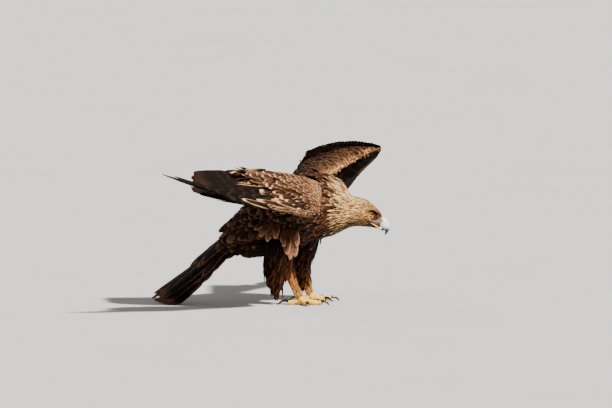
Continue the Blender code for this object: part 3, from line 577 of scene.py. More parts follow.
def sow(rows, gap_at, closed=True, start=0.0, stop=1.0, spread=0.25):
    """Staggered roots over a form: places, ways along the rows, and shares along and across."""
    if closed:
        rows = np.concatenate([rows, rows[:, :1]], 1)
    steps = np.linalg.norm(np.diff(rows, axis=0), axis=2).mean(1)
    reach = np.concatenate([[0], np.cumsum(steps)])
    here, found, number = start * reach[-1], [], 0
    while here < stop * reach[-1]:
        gap = float(gap_at(here / reach[-1]))
        r = np.interp(here, reach, np.arange(len(rows)))
        i = min(int(r), len(rows) - 2)
        ring = mix(rows[i], rows[i + 1], r - i)
        round_it = np.concatenate([[0], np.cumsum(np.linalg.norm(np.diff(ring, axis=0), axis=1))])
        count = max(3, int(round_it[-1] / gap))
        phase = 0.5 * (number % 2)
        spots = (np.arange(count) + phase + rng.uniform(-spread, spread, count)) / count
        spots = spots % 1.0 if closed else np.clip(spots, 0.001, 0.999)
        c = np.interp(spots * round_it[-1], round_it, np.arange(len(round_it)))
        r = np.clip(r + rng.uniform(-spread, spread, count) * gap / max(steps[i], 1e-6), 0, len(rows) - 1.001)
        i, j = r.astype(int), np.minimum(c.astype(int), rows.shape[1] - 2)
        front, rear = (mix(rows[k, j], rows[k, j + 1], (c - j)[:, None]) for k in (i, i + 1))
        shares = np.stack([r / (len(rows) - 1), c / (rows.shape[1] - 1)], 1)
        found.append(np.concatenate([mix(front, rear, (r - i)[:, None]), rear - front, shares], 1))
        here += gap
        number += 1
    found = np.concatenate(found)
    return found[:, :3], unit(found[:, 3:6]), found[:, 6], found[:, 7]


def turned(vectors, axes, degrees):
    """Vectors turned about unit axes, each by its own angle."""
    a = np.radians(degrees)[..., None]
    along = (vectors * axes).sum(-1, keepdims=True)
    return vectors * np.cos(a) + np.cross(axes, vectors) * np.sin(a) + axes * along * (1 - np.cos(a))


def lay(roots, ways, lengths, heights, stations, free=5.0, sag=0.0, level=0.8):
    """Shafts that follow the skin from their roots. heights is how far each station stands off it.

    Where the skin falls away by more than free, a shaft goes straight on, or sags a little.
    """
    spots, normals = on_skin(roots)
    ways = unit(ways - normals * (ways * normals).sum(1, keepdims=True))
    shafts, lifts = [], []
    before, lift, way = spots, normals, ways
    for k in range(stations):
        if k:
            ahead = before + way * (lengths / (stations - 1))[:, None]
            ahead[:, 2] -= sag * lengths / (stations - 1)
            near, near_lift = on_skin(ahead)
            off = np.linalg.norm(ahead - near, axis=1)
            inside = ((ahead - near) * near_lift).sum(1) < 0
            # At a sharp edge of the skin a feather doesn't bend round it.
            even = (near_lift * lift).sum(1) > level
            follow = (((off < free) | (inside & (off < 3 * free))) & even)[:, None]
            spot = np.where(follow, near, ahead)
            lift = unit(np.where(follow, near_lift * 0.7 + lift * 0.3, lift))
            way = unit(spot - before)
            way = unit(way - lift * (way * lift).sum(1, keepdims=True) * 0.5)
            before = spot
        shafts.append(before + lift * heights[:, k][:, None])
        lifts.append(lift)
    return np.stack(shafts, 1), np.stack(lifts, 1)


def outline(stations, point, root=0.30, widest=0.40):
    """Half width along a feather, 1 at its widest: point 0 is a round tip and 1 a lance."""
    s = np.linspace(0, 1, stations)[None]
    point = np.reshape(point, (-1, 1))
    grow = root + (1 - root) * np.sin(np.minimum(s / widest, 1) * math.pi / 2)
    blunt = np.sqrt(np.maximum(1 - (s * 0.985) ** 5, 0))
    lance = np.maximum(1 - (s * 0.97) ** 1.7, 0)
    return grow * mix(blunt, lance, point)


def feathers(shafts, lifts, left, right, tone, fringe, patches, acrosses, thick, camber=0.14, ridge=0.35,
             roll=0.0):
    """The points and faces of many feathers at once, as one bundle for make_coat."""
    count, stations = shafts.shape[:2]
    u = np.array(acrosses)
    ahead = unit(np.gradient(shafts, axis=1))
    side = unit(np.cross(lifts, ahead))
    lift = np.cross(ahead, side)
    if np.any(roll):
        side = turned(side, ahead, np.broadcast_to(np.reshape(roll, (-1, 1)), (count, stations)))
        lift = np.cross(ahead, side)
    half = np.where(u < 0, left[..., None], right[..., None])
    taper = np.linspace(1, 0.35, stations)[:, None]
    bow = -camber * u**2 * half + (u == 0) * ridge * taper
    top = shafts[:, :, None] + side[:, :, None] * (u * half)[..., None] + lift[:, :, None] * bow[..., None]
    inner = u[1:-1]
    under = top[:, :, 1:-1] - lift[:, :, None] * (thick * (1 - inner**2) ** 0.25)[:, None]
    a, b = len(u), len(inner)
    points = np.concatenate([top, under], 2).reshape(-1, 3)
    v = np.linspace(0, 1, stations)
    flat_u = np.concatenate([u, inner])
    vane_uv = np.stack(np.broadcast_arrays(flat_u[None, :] * 0.5 + 0.5, v[:, None]), -1)
    vane_uv = np.broadcast_to(vane_uv, (count, stations, a + b, 2)).reshape(-1, 2)
    map_uv = patches[:, None, None] + (vane_uv.reshape(count, stations, a + b, 2) - 0.5) * ROOT_PATCH
    ring = a + b
    faces = []
    below = [0, *range(a, a + b), a - 1]
    for r in range(stations - 1):
        p, q = r * ring, (r + 1) * ring
        for k in range(a - 1):
            faces.append((p + k, q + k, q + k + 1, p + k + 1))
            faces.append((p + below[k], p + below[k + 1], q + below[k + 1], q + below[k]))
    last = (stations - 1) * ring
    for k in range(a - 1):
        i, j = below[k], below[k + 1]
        if k == 0:
            faces.append((0, 1, j, j))
            faces.append((last, last + j, last + 1, last + 1))
        elif k == a - 2:
            faces.append((k, k + 1, i, i))
            faces.append((last + k, last + i, last + k + 1, last + k + 1))
        else:
            faces.append((k, k + 1, j, i))
            faces.append((last + k, last + i, last + j, last + k + 1))
    faces = (np.array(faces)[None] + (np.arange(count) * stations * ring)[:, None, None]).reshape(-1, 4)
    each = stations * ring
    tones = np.concatenate([tone, np.broadcast_to(fringe, count)[:, None]], 1)
    tones = np.repeat(tones, each, axis=0)
    return {"points": points, "faces": faces, "vane": vane_uv, "map": map_uv.reshape(-1, 2), "tone": tones}


def patches_at(cell, along, across):
    """Places in one form's cell of the skin's map, from shares along and across the form."""
    left, base, wide, tall = MAP_CELLS[cell]
    return np.stack(np.broadcast_arrays(left + wide * across, base + tall * along), -1)


def dress(made, finish):
    """Gives a piece its finish, and fixes it to the bird's one body."""
    made.data.materials.clear()
    made.data.materials.append(finish.material)
    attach(made, "root")


def make_coat(name, bundles, finish):
    """One mesh of many feathers, with their tones and both their maps."""
    offset = 0
    for bundle in bundles:
        bundle["faces"] = bundle["faces"] + offset
        offset += len(bundle["points"])
    kinds = ("points", "faces", "vane", "map", "tone")
    points, faces, vane, root_map, tones = (np.concatenate([b[kind] for b in bundles]) for kind in kinds)
    is_triangle = faces[:, 2] == faces[:, 3]
    sizes = np.where(is_triangle, 3, 4)
    keep = np.ones(faces.shape, bool)
    keep[is_triangle, 3] = False
    corners = faces[keep]
    points[:, 2] = np.maximum(points[:, 2], FLOOR_CLEAR)
    data = bpy.data.meshes.new(name)
    data.vertices.add(len(points))
    data.vertices.foreach_set("co", (points * MM + SHIFT).ravel())
    data.loops.add(len(corners))
    data.loops.foreach_set("vertex_index", corners)
    data.polygons.add(len(faces))
    data.polygons.foreach_set("loop_start", np.concatenate([[0], np.cumsum(sizes)[:-1]]))
    data.polygons.foreach_set("loop_total", sizes)
    data.update(calc_edges=True)
    for layer_name, values in (("OFBake", root_map), ("Vane", vane)):
        layer = data.uv_layers.new(name=layer_name)
        layer.data.foreach_set("uv", values[corners].ravel())
    colour = data.color_attributes.new("tone", "FLOAT_COLOR", "POINT")
    colour.data.foreach_set("color", tones.ravel())
    made = bpy.data.objects.new(name, data)
    bpy.context.scene.collection.objects.link(made)
    shade_smooth(made)
    dress(made, finish)
    # A few thousand of its points later lend the skin their colours.
    every = max(1, len(points) // 4000)
    laid.append((points[::every], tones[::every, :3]))


laid = []


def plumage(name, pale, barring=0.0, tip_dark=0.0, fleck=0.25, gloss=0.7, streaks=70.0, root_shade=0.9,
            rim_from=0.55):
    """The finish of feathers: barbs slant from the shaft, the rim is paler, and quills carry bars."""
    finish = Finish(name, Roughness=gloss, Specular_IOR_Level=0.05)
    tone = finish.attribute("tone")
    vane = finish.node("ShaderNodeUVMap", {"uv_map": "Vane"})
    across = abs(finish.part(vane, 0) * 2 - 1)
    along = finish.part(vane, 1)
    wander = finish.noise(180.0)
    coarse = finish.noise(40.0)
    barbs = ((along * streaks - across * streaks * 0.28 + wander * 5).sine() + 1) * 0.5
    rim = (across + (wander - 0.5) * 0.3).ramp(rim_from, 0.95) * along.ramp(0.15, 0.55)
    end = (along + (wander - 0.5) * 0.12 - (1 - across) * 0.05).ramp(0.80, 0.94)
    edge = rim.sum("MAXIMUM", end) * finish.attribute("tone", "Alpha")
    # A feather is darker towards its root and along its middle than at its tip.
    deep = (1 - along.ramp(0.25, 0.9)) * root_shade + (1 - across.ramp(0.1, 0.8)) * 0.22 * root_shade
    dark = finish.shaded(tone, (0.16, 0.13, 0.12))
    colour = finish.blend((coarse - 0.30) * fleck * 2 + deep, tone, dark)
    if barring:
        wave = (along * BARS * 2 * math.pi + (coarse - 0.5) * 7 + across * 1.6).sine()
        fade = 1 - along.ramp(0.70, 0.86)
        bars = wave.ramp(0.1, 0.75) * barring * fade * (0.35 + 0.65 * finish.noise(90.0))
        colour = finish.blend(bars, colour, srgb(120, 98, 78))
    colour = finish.blend(edge, colour, pale)
    colour = finish.blend(barbs * 0.2, colour, finish.shaded(colour, (0.4, 0.37, 0.35)))
    shaft = 1 - across.ramp(0.03, 0.10)
    colour = finish.blend(shaft * 0.35 * (1 - along), colour, srgb(70, 50, 36))
    if tip_dark:
        colour = finish.blend(along.ramp(0.3, 1.0) * tip_dark, colour, srgb(26, 20, 17))
    finish.set("Base Color", colour)
    finish.set("Roughness", gloss + (coarse - 0.5) * 0.2)
    finish.bump(barbs * 0.6 + wander * 0.4, 0.35, 0.0006)
    return finish


def shades(colours, count, spread):
    """Feather colours, one for each or one for all, varied a little in brightness and warmth."""
    light = np.exp(rng.normal(0, spread, (count, 1)))
    tint = 1 + rng.normal(0, 0.04, (count, 1)) * arr(1.0, 0.1, -1.0)
    made = np.maximum(np.broadcast_to(colours, (count, 3)) * light * tint, 0.001)
    return made / np.maximum(made.max(1, keepdims=True) / 0.95, 1)


def palette(table, place):
    """Screen colours from a short table, read at each place and made linear."""
    return read([(p, srgb(*c)) for p, c in table], place)


def body_tones(along, height):
    """The coat's colour by place: height is 1 on the back, 0 on the flank and -1 on the belly."""
    top, side, under = (palette(table, along) for table in (TOP_TONES, SIDE_TONES, UNDER_TONES))
    up = np.clip(height, 0, 1)[:, None] ** 0.8
    down = np.clip(-height * 1.5, 0, 1)[:, None] ** 0.8
    return mix(mix(side, top, up), under, down)


def sown_feathers(cell, seeds, lengths, widths, point, tone, fringe, lift, stations, acrosses, ruffle=0.0,
                  yaw=8.0, free=5.0, sag=0.0, thick=0.4, vary=0.14, level=0.8, close=3.5):
    """Feathers laid on the skin from sown roots, with heights that rise to lift at their tips."""
    roots, ways, along, across = seeds
    count = len(roots)
    lengths = lengths * rng.uniform(0.86, 1.14, count)
    widths = widths * rng.uniform(0.88, 1.12, count)
    spots, normals = on_skin(roots)
    keep = np.flatnonzero(np.linalg.norm(spots - roots, axis=1) < close)
    ways = turned(ways, normals, rng.normal(0, yaw, count))
    s = np.linspace(0, 1, stations)[None]
    rise = lift * rng.uniform(0.8, 1.2, count) + ruffle * rng.random(count) ** 3
    heights = -ROOT_SINK + (rise + ROOT_SINK)[:, None] * s**0.62
    point, fringe, sag = (np.broadcast_to(values, count)[keep] for values in (point, fringe, sag))
    shafts, lifts = lay(roots[keep], ways[keep], lengths[keep], heights[keep], stations, free, sag, level)
    half = outline(stations, point) * widths[keep, None] / 2
    rag = 1 + rng.uniform(-RAGGED, RAGGED, (2, *half.shape)) * s
    return feathers(
        shafts, lifts, half * rag[0], half * rag[1],
        shades(np.broadcast_to(tone, (count, 3))[keep], len(keep), vary), fringe,
        patches_at(cell, along[keep], across[keep]), acrosses, thick, roll=rng.normal(0, ROLL, len(keep)))


def hump(values, middle, wide):
    """1 at the middle, falling off smoothly to both sides."""
    return np.exp(-((values - middle) / wide) ** 2)


roots, ways, along, across = sow(body_rows(161, 96), lambda s: read(GAPS, s))
height = np.sin(across * 2 * math.pi)
eye_gap = np.minimum(*(np.linalg.norm(roots - EYE_AT * arr(1, side, 1), axis=1) for side in (-1, 1)))
# No feather grows over the eyes, on the naked corner of the mouth or where the bill joins, and those whose
# roots lie inside the arms or thighs are left out.
mouth = np.min([np.linalg.norm(abs(roots) - g, axis=1) for g in smooth_rows(GAPE_LINE, 9)], axis=0)
bare = (eye_gap - 0.12 * (roots[:, 0] - EYE_AT[0]) < 11.8) | (mouth < 2.4) | (roots[:, 0] > 253)
spots, _ = on_skin(roots)
buried = np.linalg.norm(spots - roots, axis=1) > np.where(along < 0.2, 7.0, 4.5)
show = ~bare & ~buried
roots, ways, along, across, height = (x[show] for x in (roots, ways, along, across, height))
# Feathers of the lower breast and the flanks also hang a little.
hang = np.clip(-height, 0, 1) * np.clip((along - 0.3) * 3, 0, 1) * 0.35
ways = unit(ways - arr(0, 0, 1) * hang[:, None])
tone = body_tones(along, height)
# Worn feathers are faded, and where the neck meets the mantle pale and dark ones are mixed.
faded = (rng.random(len(along)) < 0.10) & (along > 0.44) & (height > 0.1)
tone[faded] = mix(tone[faded], srgb(150, 118, 88), 0.35)
swapped = np.clip(along + rng.normal(0, 0.035, len(along)) * (along > 0.3), 0, 1)
tone = np.where(((along > 0.3) & (along < 0.55))[:, None], body_tones(swapped, height), tone)
# Among the golden hackles some are still the deep orange-brown of fresh ones.
fresh = (rng.random(len(along)) < 0.22) & (along > 0.13) & (along < 0.45)
tone[fresh] = mix(tone[fresh], srgb(186, 116, 58), 0.75)
fringe = read(RIMMED, along) * rng.uniform(0.1, 1.4, len(along)) * np.where(height < -0.2, 0.75, 1.0)
# The brow and the place before the eye are painted dark, as shade under the brow ridge, and the lores below
# them pale.
brow_gap = np.min([np.linalg.norm(abs(roots) - point, axis=1) for point in brow_line], axis=0)
before, _, above = (abs(roots) - EYE_AT).T
dark = np.clip(1.9 - brow_gap / 3.4, 0, 1)
dark = np.maximum(dark, hump(before, 14, 7) * hump(above, 1, 4))
pale = hump(before, 9, 10) * hump(above, -12, 5) * (along < 0.12)
tone = mix(tone, srgb(232, 220, 206), np.minimum(1, 1.3 * pale)[:, None])
tone = mix(tone, srgb(56, 38, 28), dark[:, None])
fringe = fringe * (1 - dark)
# The mantle behind the neck stands up, ruffled by the lifted wings.
ruffle = 6 * hump(along, 0.47, 0.09) * np.clip(height, 0, 1) + 1.2 + 3 * (along > 0.5)
columns = (roots, ways, along, across, read(LENGTHS, along), read(WIDTHS, along), read(POINTED, along), tone,
           fringe, read(COAT_DEPTH, 1 - along) * 0.92, ruffle)
nape_finish = plumage("nape_plumage", srgb(255, 232, 182), fleck=0.4, root_shade=1.3)
body_finish = plumage("body_plumage", srgb(176, 134, 104), fleck=0.3, rim_from=0.74)
FACE = {"stations": 5, "acrosses": FINE, "yaw": 6, "thick": 0.3, "vary": 0.22, "close": 7.0}
NECK = {"stations": 8, "acrosses": MEDIUM, "yaw": 11, "thick": 0.45, "vary": 0.38}
TRUNK = {"stations": 9, "acrosses": MEDIUM, "yaw": 11, "thick": 0.45, "vary": 0.22}
for name, first, last, looks, finish, slot_name in (
    ("face_feathers", 0.0, FACE_END, FACE, nape_finish, "nape_feathers"),
    ("nape_hackles", FACE_END, NECK_END, NECK, nape_finish, "nape_feathers"),
    ("body_feathers", NECK_END, TAIL_END, TRUNK, body_finish, "body_feathers"),
):
    pick = (along >= first) & (along < last)
    *seeds, length, width, point, shade, rim, lift, ruffle = (column[pick] for column in columns)
    bundle = sown_feathers("trunk", seeds, length, width, point, shade, rim, lift, ruffle=ruffle, **looks)
    make_coat(name, [bundle], finish)

# The tail: twelve broad quills from the rump, dark with grey-brown bars, closed like a fan, with the
# middle pair on top, and long soft coverts over and under their roots.
TAIL_QUILLS = 12
TAIL_REST = 10.0                # height of its tip, laid on the floor
TAIL_COVERT_ROWS, TAIL_COVERTS = 4, 7
PARTED = 0.16                   # the share of places at which a quill's barbs are parted


def quills(roots, aims, normals, lengths, left, right, droop, stations, acrosses, tone, fringe, patches,
           sweep=0.0, thick=0.6, ridge=1.1, notch=0.10, floor=None, camber=0.10):
    """Stiff feathers with straight or gently bent shafts. left and right are half widths by station."""
    count = len(roots)
    aims = unit(aims)
    normals = unit(normals - aims * (normals * aims).sum(1, keepdims=True))
    here, heading, lift = roots, aims, normals
    shafts, lifts = [here], [lift]
    step = (lengths / (stations - 1))[:, None]
    bend, turn = (np.broadcast_to(angle, count) / (stations - 1) for angle in (droop, sweep))
    for k in range(1, stations):
        side = np.cross(heading, lift)
        heading = turned(heading, side, -bend)
        lift = turned(lift, side, -bend)
        heading = turned(heading, lift, turn)
        here = here + heading * step
        if floor is not None:
            here[:, 2] = np.maximum(here[:, 2], floor)
        shafts.append(here)
        lifts.append(lift)
    # Here and there the barbs part, which leaves a notch in the edge of the vane.
    parted = rng.random((2, count, stations)) < PARTED
    parted[:, :, :3] = False
    deep, slight = rng.random((2, 2, count, stations))
    cut = 1 - notch * 3 * parted * deep - notch * 0.4 * slight
    return feathers(np.stack(shafts, 1), np.stack(lifts, 1), left * cut[0], right * cut[1], tone, fringe,
                    patches, acrosses, thick, camber=camber, ridge=ridge)


tail_finish = plumage(
    "tail_plumage", srgb(168, 126, 96), barring=0.12, tip_dark=0.6, gloss=0.75, streaks=260, rim_from=0.84)
k = np.arange(TAIL_QUILLS)
off = (k - (TAIL_QUILLS - 1) / 2) / ((TAIL_QUILLS - 1) / 2)
level = 5 - abs(off) * 9 - 0.7 * (off > 0)
half = outline(20, 0.25, root=0.35, widest=0.5) * 25
# Worn quills differ in length, lean a little to one side and some are faded.
worn = rng.uniform(-34, 4, TAIL_QUILLS)
tone = np.where((k % 4 == 2)[:, None], srgb(104, 76, 56), srgb(42, 31, 25))
bundle = quills(
    TAIL_ROOT + tail_aim * 26 + tail_across * (off * 16)[:, None] + tail_up * level[:, None],
    tail_aim + tail_across * (off * 0.12 + rng.normal(0, 0.012, TAIL_QUILLS))[:, None],
    turned(np.tile(tail_up, (TAIL_QUILLS, 1)), tail_aim, 9 * off + rng.normal(0, 5, TAIL_QUILLS)),
    TAIL_LENGTH - 28 - abs(off) * 14 + worn, half * 0.92, half, -9, 20, STIFF,
    shades(tone, TAIL_QUILLS, 0.2), 1.0, patches_at("tail", 0.5, (k + 0.5) / TAIL_QUILLS),
    floor=TAIL_REST + 0.6 * level)
make_coat("tail_quills", [bundle], tail_finish)

roots, ways, along, across = sow(rump_rows(40, 48), lambda s: 8.0, stop=0.8)
_, normals = on_skin(roots)
tone = np.where((normals @ tail_up > 0)[:, None], srgb(66, 48, 37), srgb(82, 60, 44))
ways = unit(tail_aim + 0.3 * ways)
bundles = [sown_feathers(
    "rump", (roots, ways, along, across), 46 + 20 * along, 24.0, 0.2, tone, 0.4, 3.5, 8, MEDIUM, yaw=6,
    free=6.0, ruffle=1.5, vary=0.22, level=0.2)]
# The longest coverts lie in rows over and under the quills' roots.
for face, row_tone in ((1, srgb(60, 44, 34)), (-1, srgb(86, 63, 46))):
    for row in range(TAIL_COVERT_ROWS):
        off = np.linspace(-1, 1, TAIL_COVERTS) + 0.12 * (row % 2)
        roots = (TAIL_ROOT + tail_aim * (34 + 26 * row) + tail_across * (off * (20 + 4 * row))[:, None]
                 + tail_up * (face * (15 - 2.2 * row) - 3 * abs(off))[:, None])
        aims = tail_aim + tail_across * (off * 0.12)[:, None] + rng.normal(0, 0.03, (TAIL_COVERTS, 3))
        aims = aims - tail_up * face * 0.03
        half = outline(12, 0.25, root=0.4, widest=0.5) * 17
        lifts = np.tile(tail_up * face, (TAIL_COVERTS, 1))
        bundles.append(quills(
            roots, aims, lifts, 112 - 8 * row - 14 * abs(off), half, half, 4, 12, BROAD,
            shades(row_tone, TAIL_COVERTS, 0.2), 0.5, patches_at("rump", 0.2 + 0.2 * row, 0.5 + 0.2 * off),
            thick=0.5, ridge=0.6, notch=0.06))
make_coat("tail_coverts", bundles, body_finish)

# The wings: ten primaries on each hand and a row of secondaries and tertials on the forearm, the long
# stiff quills, with tiers of coverts over and under their roots and small feathers on the arm.
SECONDARIES, PRIMARIES, THUMB_QUILLS = 16, 10, 4
# The small feathers of the arm, from its front edge (0) to its rear one (1).
ARM_GAPS = ((0, 3.6), (0.2, 6.5), (0.45, 11), (0.7, 16), (1, 19))
ARM_LENGTHS = ((0, 11), (0.2, 24), (0.45, 46), (0.7, 70), (1, 84))
ARM_WIDTHS = ((0, 6), (0.2, 11), (0.45, 21), (0.7, 31), (1, 35))
ARM_RIMMED = ((0, 0.9), (0.3, 0.5), (0.6, 0.8), (1, 1.0))
NEAR_TONES = (
    (0, (240, 200, 152)), (0.05, (172, 128, 92)), (0.25, (134, 96, 70)), (0.6, (104, 72, 52)),
    (1, (88, 60, 44)),
)
# The far wing's tones are painted darker than the near one's, as shade.
FAR_SHADED_TONES = (
    (0, (244, 204, 156)), (0.10, (186, 140, 98)), (0.22, (104, 76, 56)), (0.5, (60, 42, 31)),
    (1, (48, 35, 27)),
)
UNDER_WING_TONES = ((0, (196, 150, 98)), (0.15, (124, 84, 54)), (0.4, (74, 52, 38)), (1, (62, 46, 35)))
# The primaries' lengths, from the innermost (0) to the outermost (1).
PRIMARY_LENGTHS = ((0, 298), (0.11, 340), (0.22, 356), (0.67, 338), (0.78, 386), (0.89, 430), (1, 384))
SLATE = 4.6                     # each quill is turned so far that its inner edge covers the next one
TIPS_RAISED = 13                # how many degrees the near wing's inner quills curve up
quill_finish = plumage(
    "quill_plumage", srgb(128, 94, 68), barring=0.16, tip_dark=0.6, streaks=260, rim_from=0.86)
covert_finish = plumage(
    "covert_plumage", srgb(255, 208, 160), fleck=0.30, gloss=0.6, streaks=90, rim_from=0.6)
# The far wing's finish is a darker copy of the coverts' one, with duller rims, as painted shade.
far_shaded_finish = plumage("far_wing_shaded_plumage", srgb(206, 158, 112), fleck=0.30, gloss=0.6, streaks=90)
# Each wing's colours, how pale its feathers' rims are, and its coverts' lengths from elbow to wrist. The
# near wing has its own colours and pale rims. The far one is painted darker, with plain rims, as shade.
WING_LOOKS = {
    "right": {
        "quill": srgb(46, 34, 27), "covert": srgb(84, 58, 42), "under": srgb(66, 49, 38),
        "hand": srgb(96, 68, 48), "arm": NEAR_TONES, "finish": covert_finish,
        "arm_rim": 1.0, "under_rim": 0.3, "under_arm_rim": 0.35, "hand_rim": 0.6, "thumb_rim": 0.4,
        "greater": (124, 172), "median": (92, 118), "lesser": (66, 84),
    },
    "left": {
        "quill": srgb(60, 44, 34), "covert": srgb(72, 51, 38), "under": srgb(48, 35, 28),
        "hand": srgb(60, 43, 32), "arm": FAR_SHADED_TONES, "finish": far_shaded_finish,
        "arm_rim": 0.5, "under_rim": 0.06, "under_arm_rim": 0.06, "hand_rim": 0.08, "thumb_rim": 0.05,
        "greater": (60, 130), "median": (46, 100), "lesser": (30, 70),
    },
}


def spread(number):
    return np.linspace(0, 1, number)


def arm_line(wing, t, inner_back, outer_back):
    """The roots of a row along the forearm, from the elbow (0) to the wrist (1)."""
    elbow, wrist = wing["elbow"], wing["wrist"]
    ahead = unit(wrist - elbow)
    roots = mix(elbow - ahead * inner_back, wrist - ahead * outer_back, t[:, None])
    return roots + arr(0, 0, 1) * ridge(wing, t)[:, None]


def arm_aims(wing, t):
    return unit(mix(*wing["arm_aims"], np.minimum(1, t * 1.15)[:, None]))


def arm_lifts(wing, aims):
    ahead = unit(wing["wrist"] - wing["elbow"])
    return turned(unit(np.cross(aims, ahead) * -wing["side"]), aims, np.full(len(aims), SLATE * wing["side"]))


for wing_name, wing in WINGS.items():
    wrist, tip, side = wing["wrist"], wing["hand_end"], wing["side"]
    looks = WING_LOOKS[wing_name]
    near_wing = wing_name == "right"
    arm_cell, under_cell, hand_cell = f"arm_{wing_name}_top", f"arm_{wing_name}_under", f"hand_{wing_name}"
    lead, trail_share = (0.75, 1.1) if near_wing else (1.1, 0.75)
    t = spread(SECONDARIES)
    aims = arm_aims(wing, t)
    long = mix(*wing["lengths"], np.minimum(1, t * 1.2)) * rng.uniform(0.97, 1.02, SECONDARIES)
    bend = wing["droop"] / 335
    half = outline(20, 0.12, root=0.4, widest=0.35) * 27
    # The near wing's inner quills curve up towards their tips, which makes its upper corner square.
    raised = TIPS_RAISED * (1 - t) if near_wing else 0 * t
    bundles = [quills(
        arm_line(wing, t, 26, 8), aims, arm_lifts(wing, aims), long, half * lead, half * trail_share,
        bend * long - raised, 20, STIFF, shades(looks["quill"], SECONDARIES, 0.12), 0.4,
        patches_at(arm_cell, 0.95, t), sweep=3 * side)]
    t = spread(PRIMARIES)
    hand_aims = unit(mix(*wing["hand_aims"], t[:, None]))
    hand_lift = hand_normal(wing)
    hand_roots = mix(mix(wrist, tip, 0.10), tip, t[:, None])
    # The near wing's outermost quills roll over a little, so their tips are seen as blades.
    rolled = 30 * np.minimum(t * 6, 1) + 20 * t**2 if near_wing else 0 * t
    hand_lifts = turned(np.tile(hand_lift, (PRIMARIES, 1)), hand_aims, SLATE * side - rolled)
    primary_lengths = read(PRIMARY_LENGTHS, t)
    # The outer primaries narrow abruptly about half-way along, like fingers.
    finger = np.clip((t - 0.35) / 0.25, 0, 1)[:, None]
    narrowing = 1 - 0.52 * finger * np.clip((spread(28) - 0.42) / 0.16, 0, 1)[None]
    half = outline(28, 0.35, root=0.4, widest=0.3) * mix(27, 23, t)[:, None] * narrowing
    bundles.append(quills(
        hand_roots, hand_aims, hand_lifts, primary_lengths, half * lead, half * trail_share,
        wing["droop"] * 0.5 / 460 * primary_lengths, 28, STIFF, shades(srgb(36, 27, 22), PRIMARIES, 0.1), 0.2,
        patches_at(hand_cell, 0.9, t), sweep=5 * side))
    make_coat(f"wing_{wing_name}_quills", bundles, quill_finish)

    bundles = []
    covert, under, under_rim = looks["covert"], looks["under"], looks["under_rim"]
    tiers = (
        # Number, root back from the quills' line, height over them, lengths, half width, tone and rim.
        (16, 62, 1.6, (98, 140), 19, mix(covert, looks["quill"], 0.3), 1.0),
        (19, 4, 2.6, looks["greater"], 17, covert, 0.95),
        (20, -8, 5.0, looks["median"], 16, covert, 1.0),
        (22, -20, 7.4, looks["lesser"], 15, covert, 1.0),
        (17, 6, -3.0, (110, 110), 17, under, under_rim),
        (19, -8, -6.0, (70, 70), 14, under, under_rim),
    )
    for number, back, over, ends, half_width, tone, rim in tiers:
        tr = spread(number)
        aims = arm_aims(wing, tr)
        aims = unit(aims + rng.normal(0, 0.03, aims.shape))
        # Towards the raised wrist of the far wing the coverts are short, so its hand stays bare of them.
        lengths = mix(*ends, tr) * (1 if near_wing else 1 - 0.5 * tr**3)
        rim = rim * (1 if near_wing else 1 - 0.9 * tr**3)
        lifts = arm_lifts(wing, aims)
        # Over the raised tips of the near wing's inner quills the coverts lie higher too.
        raised = 3.6 * (1 - tr) if near_wing and over > 0 else 0 * tr
        roots = arm_line(wing, tr, 24, 4) + aims * back + lifts * (over + raised)[:, None]
        half = outline(12, 0.05, root=0.4, widest=0.5) * half_width * rng.uniform(0.9, 1.1, (number, 1))
        bundles.append(quills(
            roots, aims, lifts, lengths * rng.uniform(0.93, 1.07, number), half, half,
            bend * lengths + (3 if over > 0 else -2), 12, BROAD, shades(tone, number, 0.16),
            np.clip(rim * rng.uniform(0.6, 1.2, number), 0, 1),
            patches_at(arm_cell if over > 0 else under_cell, 0.8, tr),
            thick=0.5, ridge=0.6, notch=0.06, sweep=rng.normal(0, 4, number), camber=0.16))
    half = outline(12, 0.3, root=0.4, widest=0.4)
    for over, tone in ((2.4, mix(covert, looks["quill"], 0.6)), (-2.6, under)):
        bundles.append(quills(
            hand_roots + hand_lifts * over, hand_aims, hand_lifts, primary_lengths * 0.34, half * 15 * lead,
            half * 15 * trail_share, 2, 12, BROAD, shades(tone, PRIMARIES, 0.14), looks["hand_rim"],
            patches_at(hand_cell, 0.4, t), thick=0.5, ridge=0.6, notch=0.06))
    # The alula is a small stiff wing of its own on the thumb, at the front of the wrist.
    thumb = spread(THUMB_QUILLS)
    ahead = unit(tip - wrist)
    bundles.append(quills(
        mix(wrist + ahead * 14, wrist + ahead * 34, thumb[:, None]) + hand_lift * (7 + 1.5 * thumb)[:, None],
        np.tile(unit(ahead * 0.75 + hand_aims[-1] * 0.55), (THUMB_QUILLS, 1)),
        np.tile(hand_lift, (THUMB_QUILLS, 1)), mix(110, 62, thumb), half * 11, half * 11, 4, 12, BROAD,
        shades(looks["quill"], THUMB_QUILLS, 0.1), looks["thumb_rim"], patches_at(hand_cell, 0, thumb),
        thick=0.5, ridge=0.6, notch=0.05))
    make_coat(f"wing_{wing_name}_coverts", bundles, looks["finish"])

    bundles = []
    for sheet, cell in zip(arm_sheets(wing, 60, 41), (arm_cell, under_cell)):
        upper = cell == arm_cell
        seeds = sow(sheet, lambda s: read(ARM_GAPS, s), closed=False, start=0.01, stop=0.97, spread=0.16)
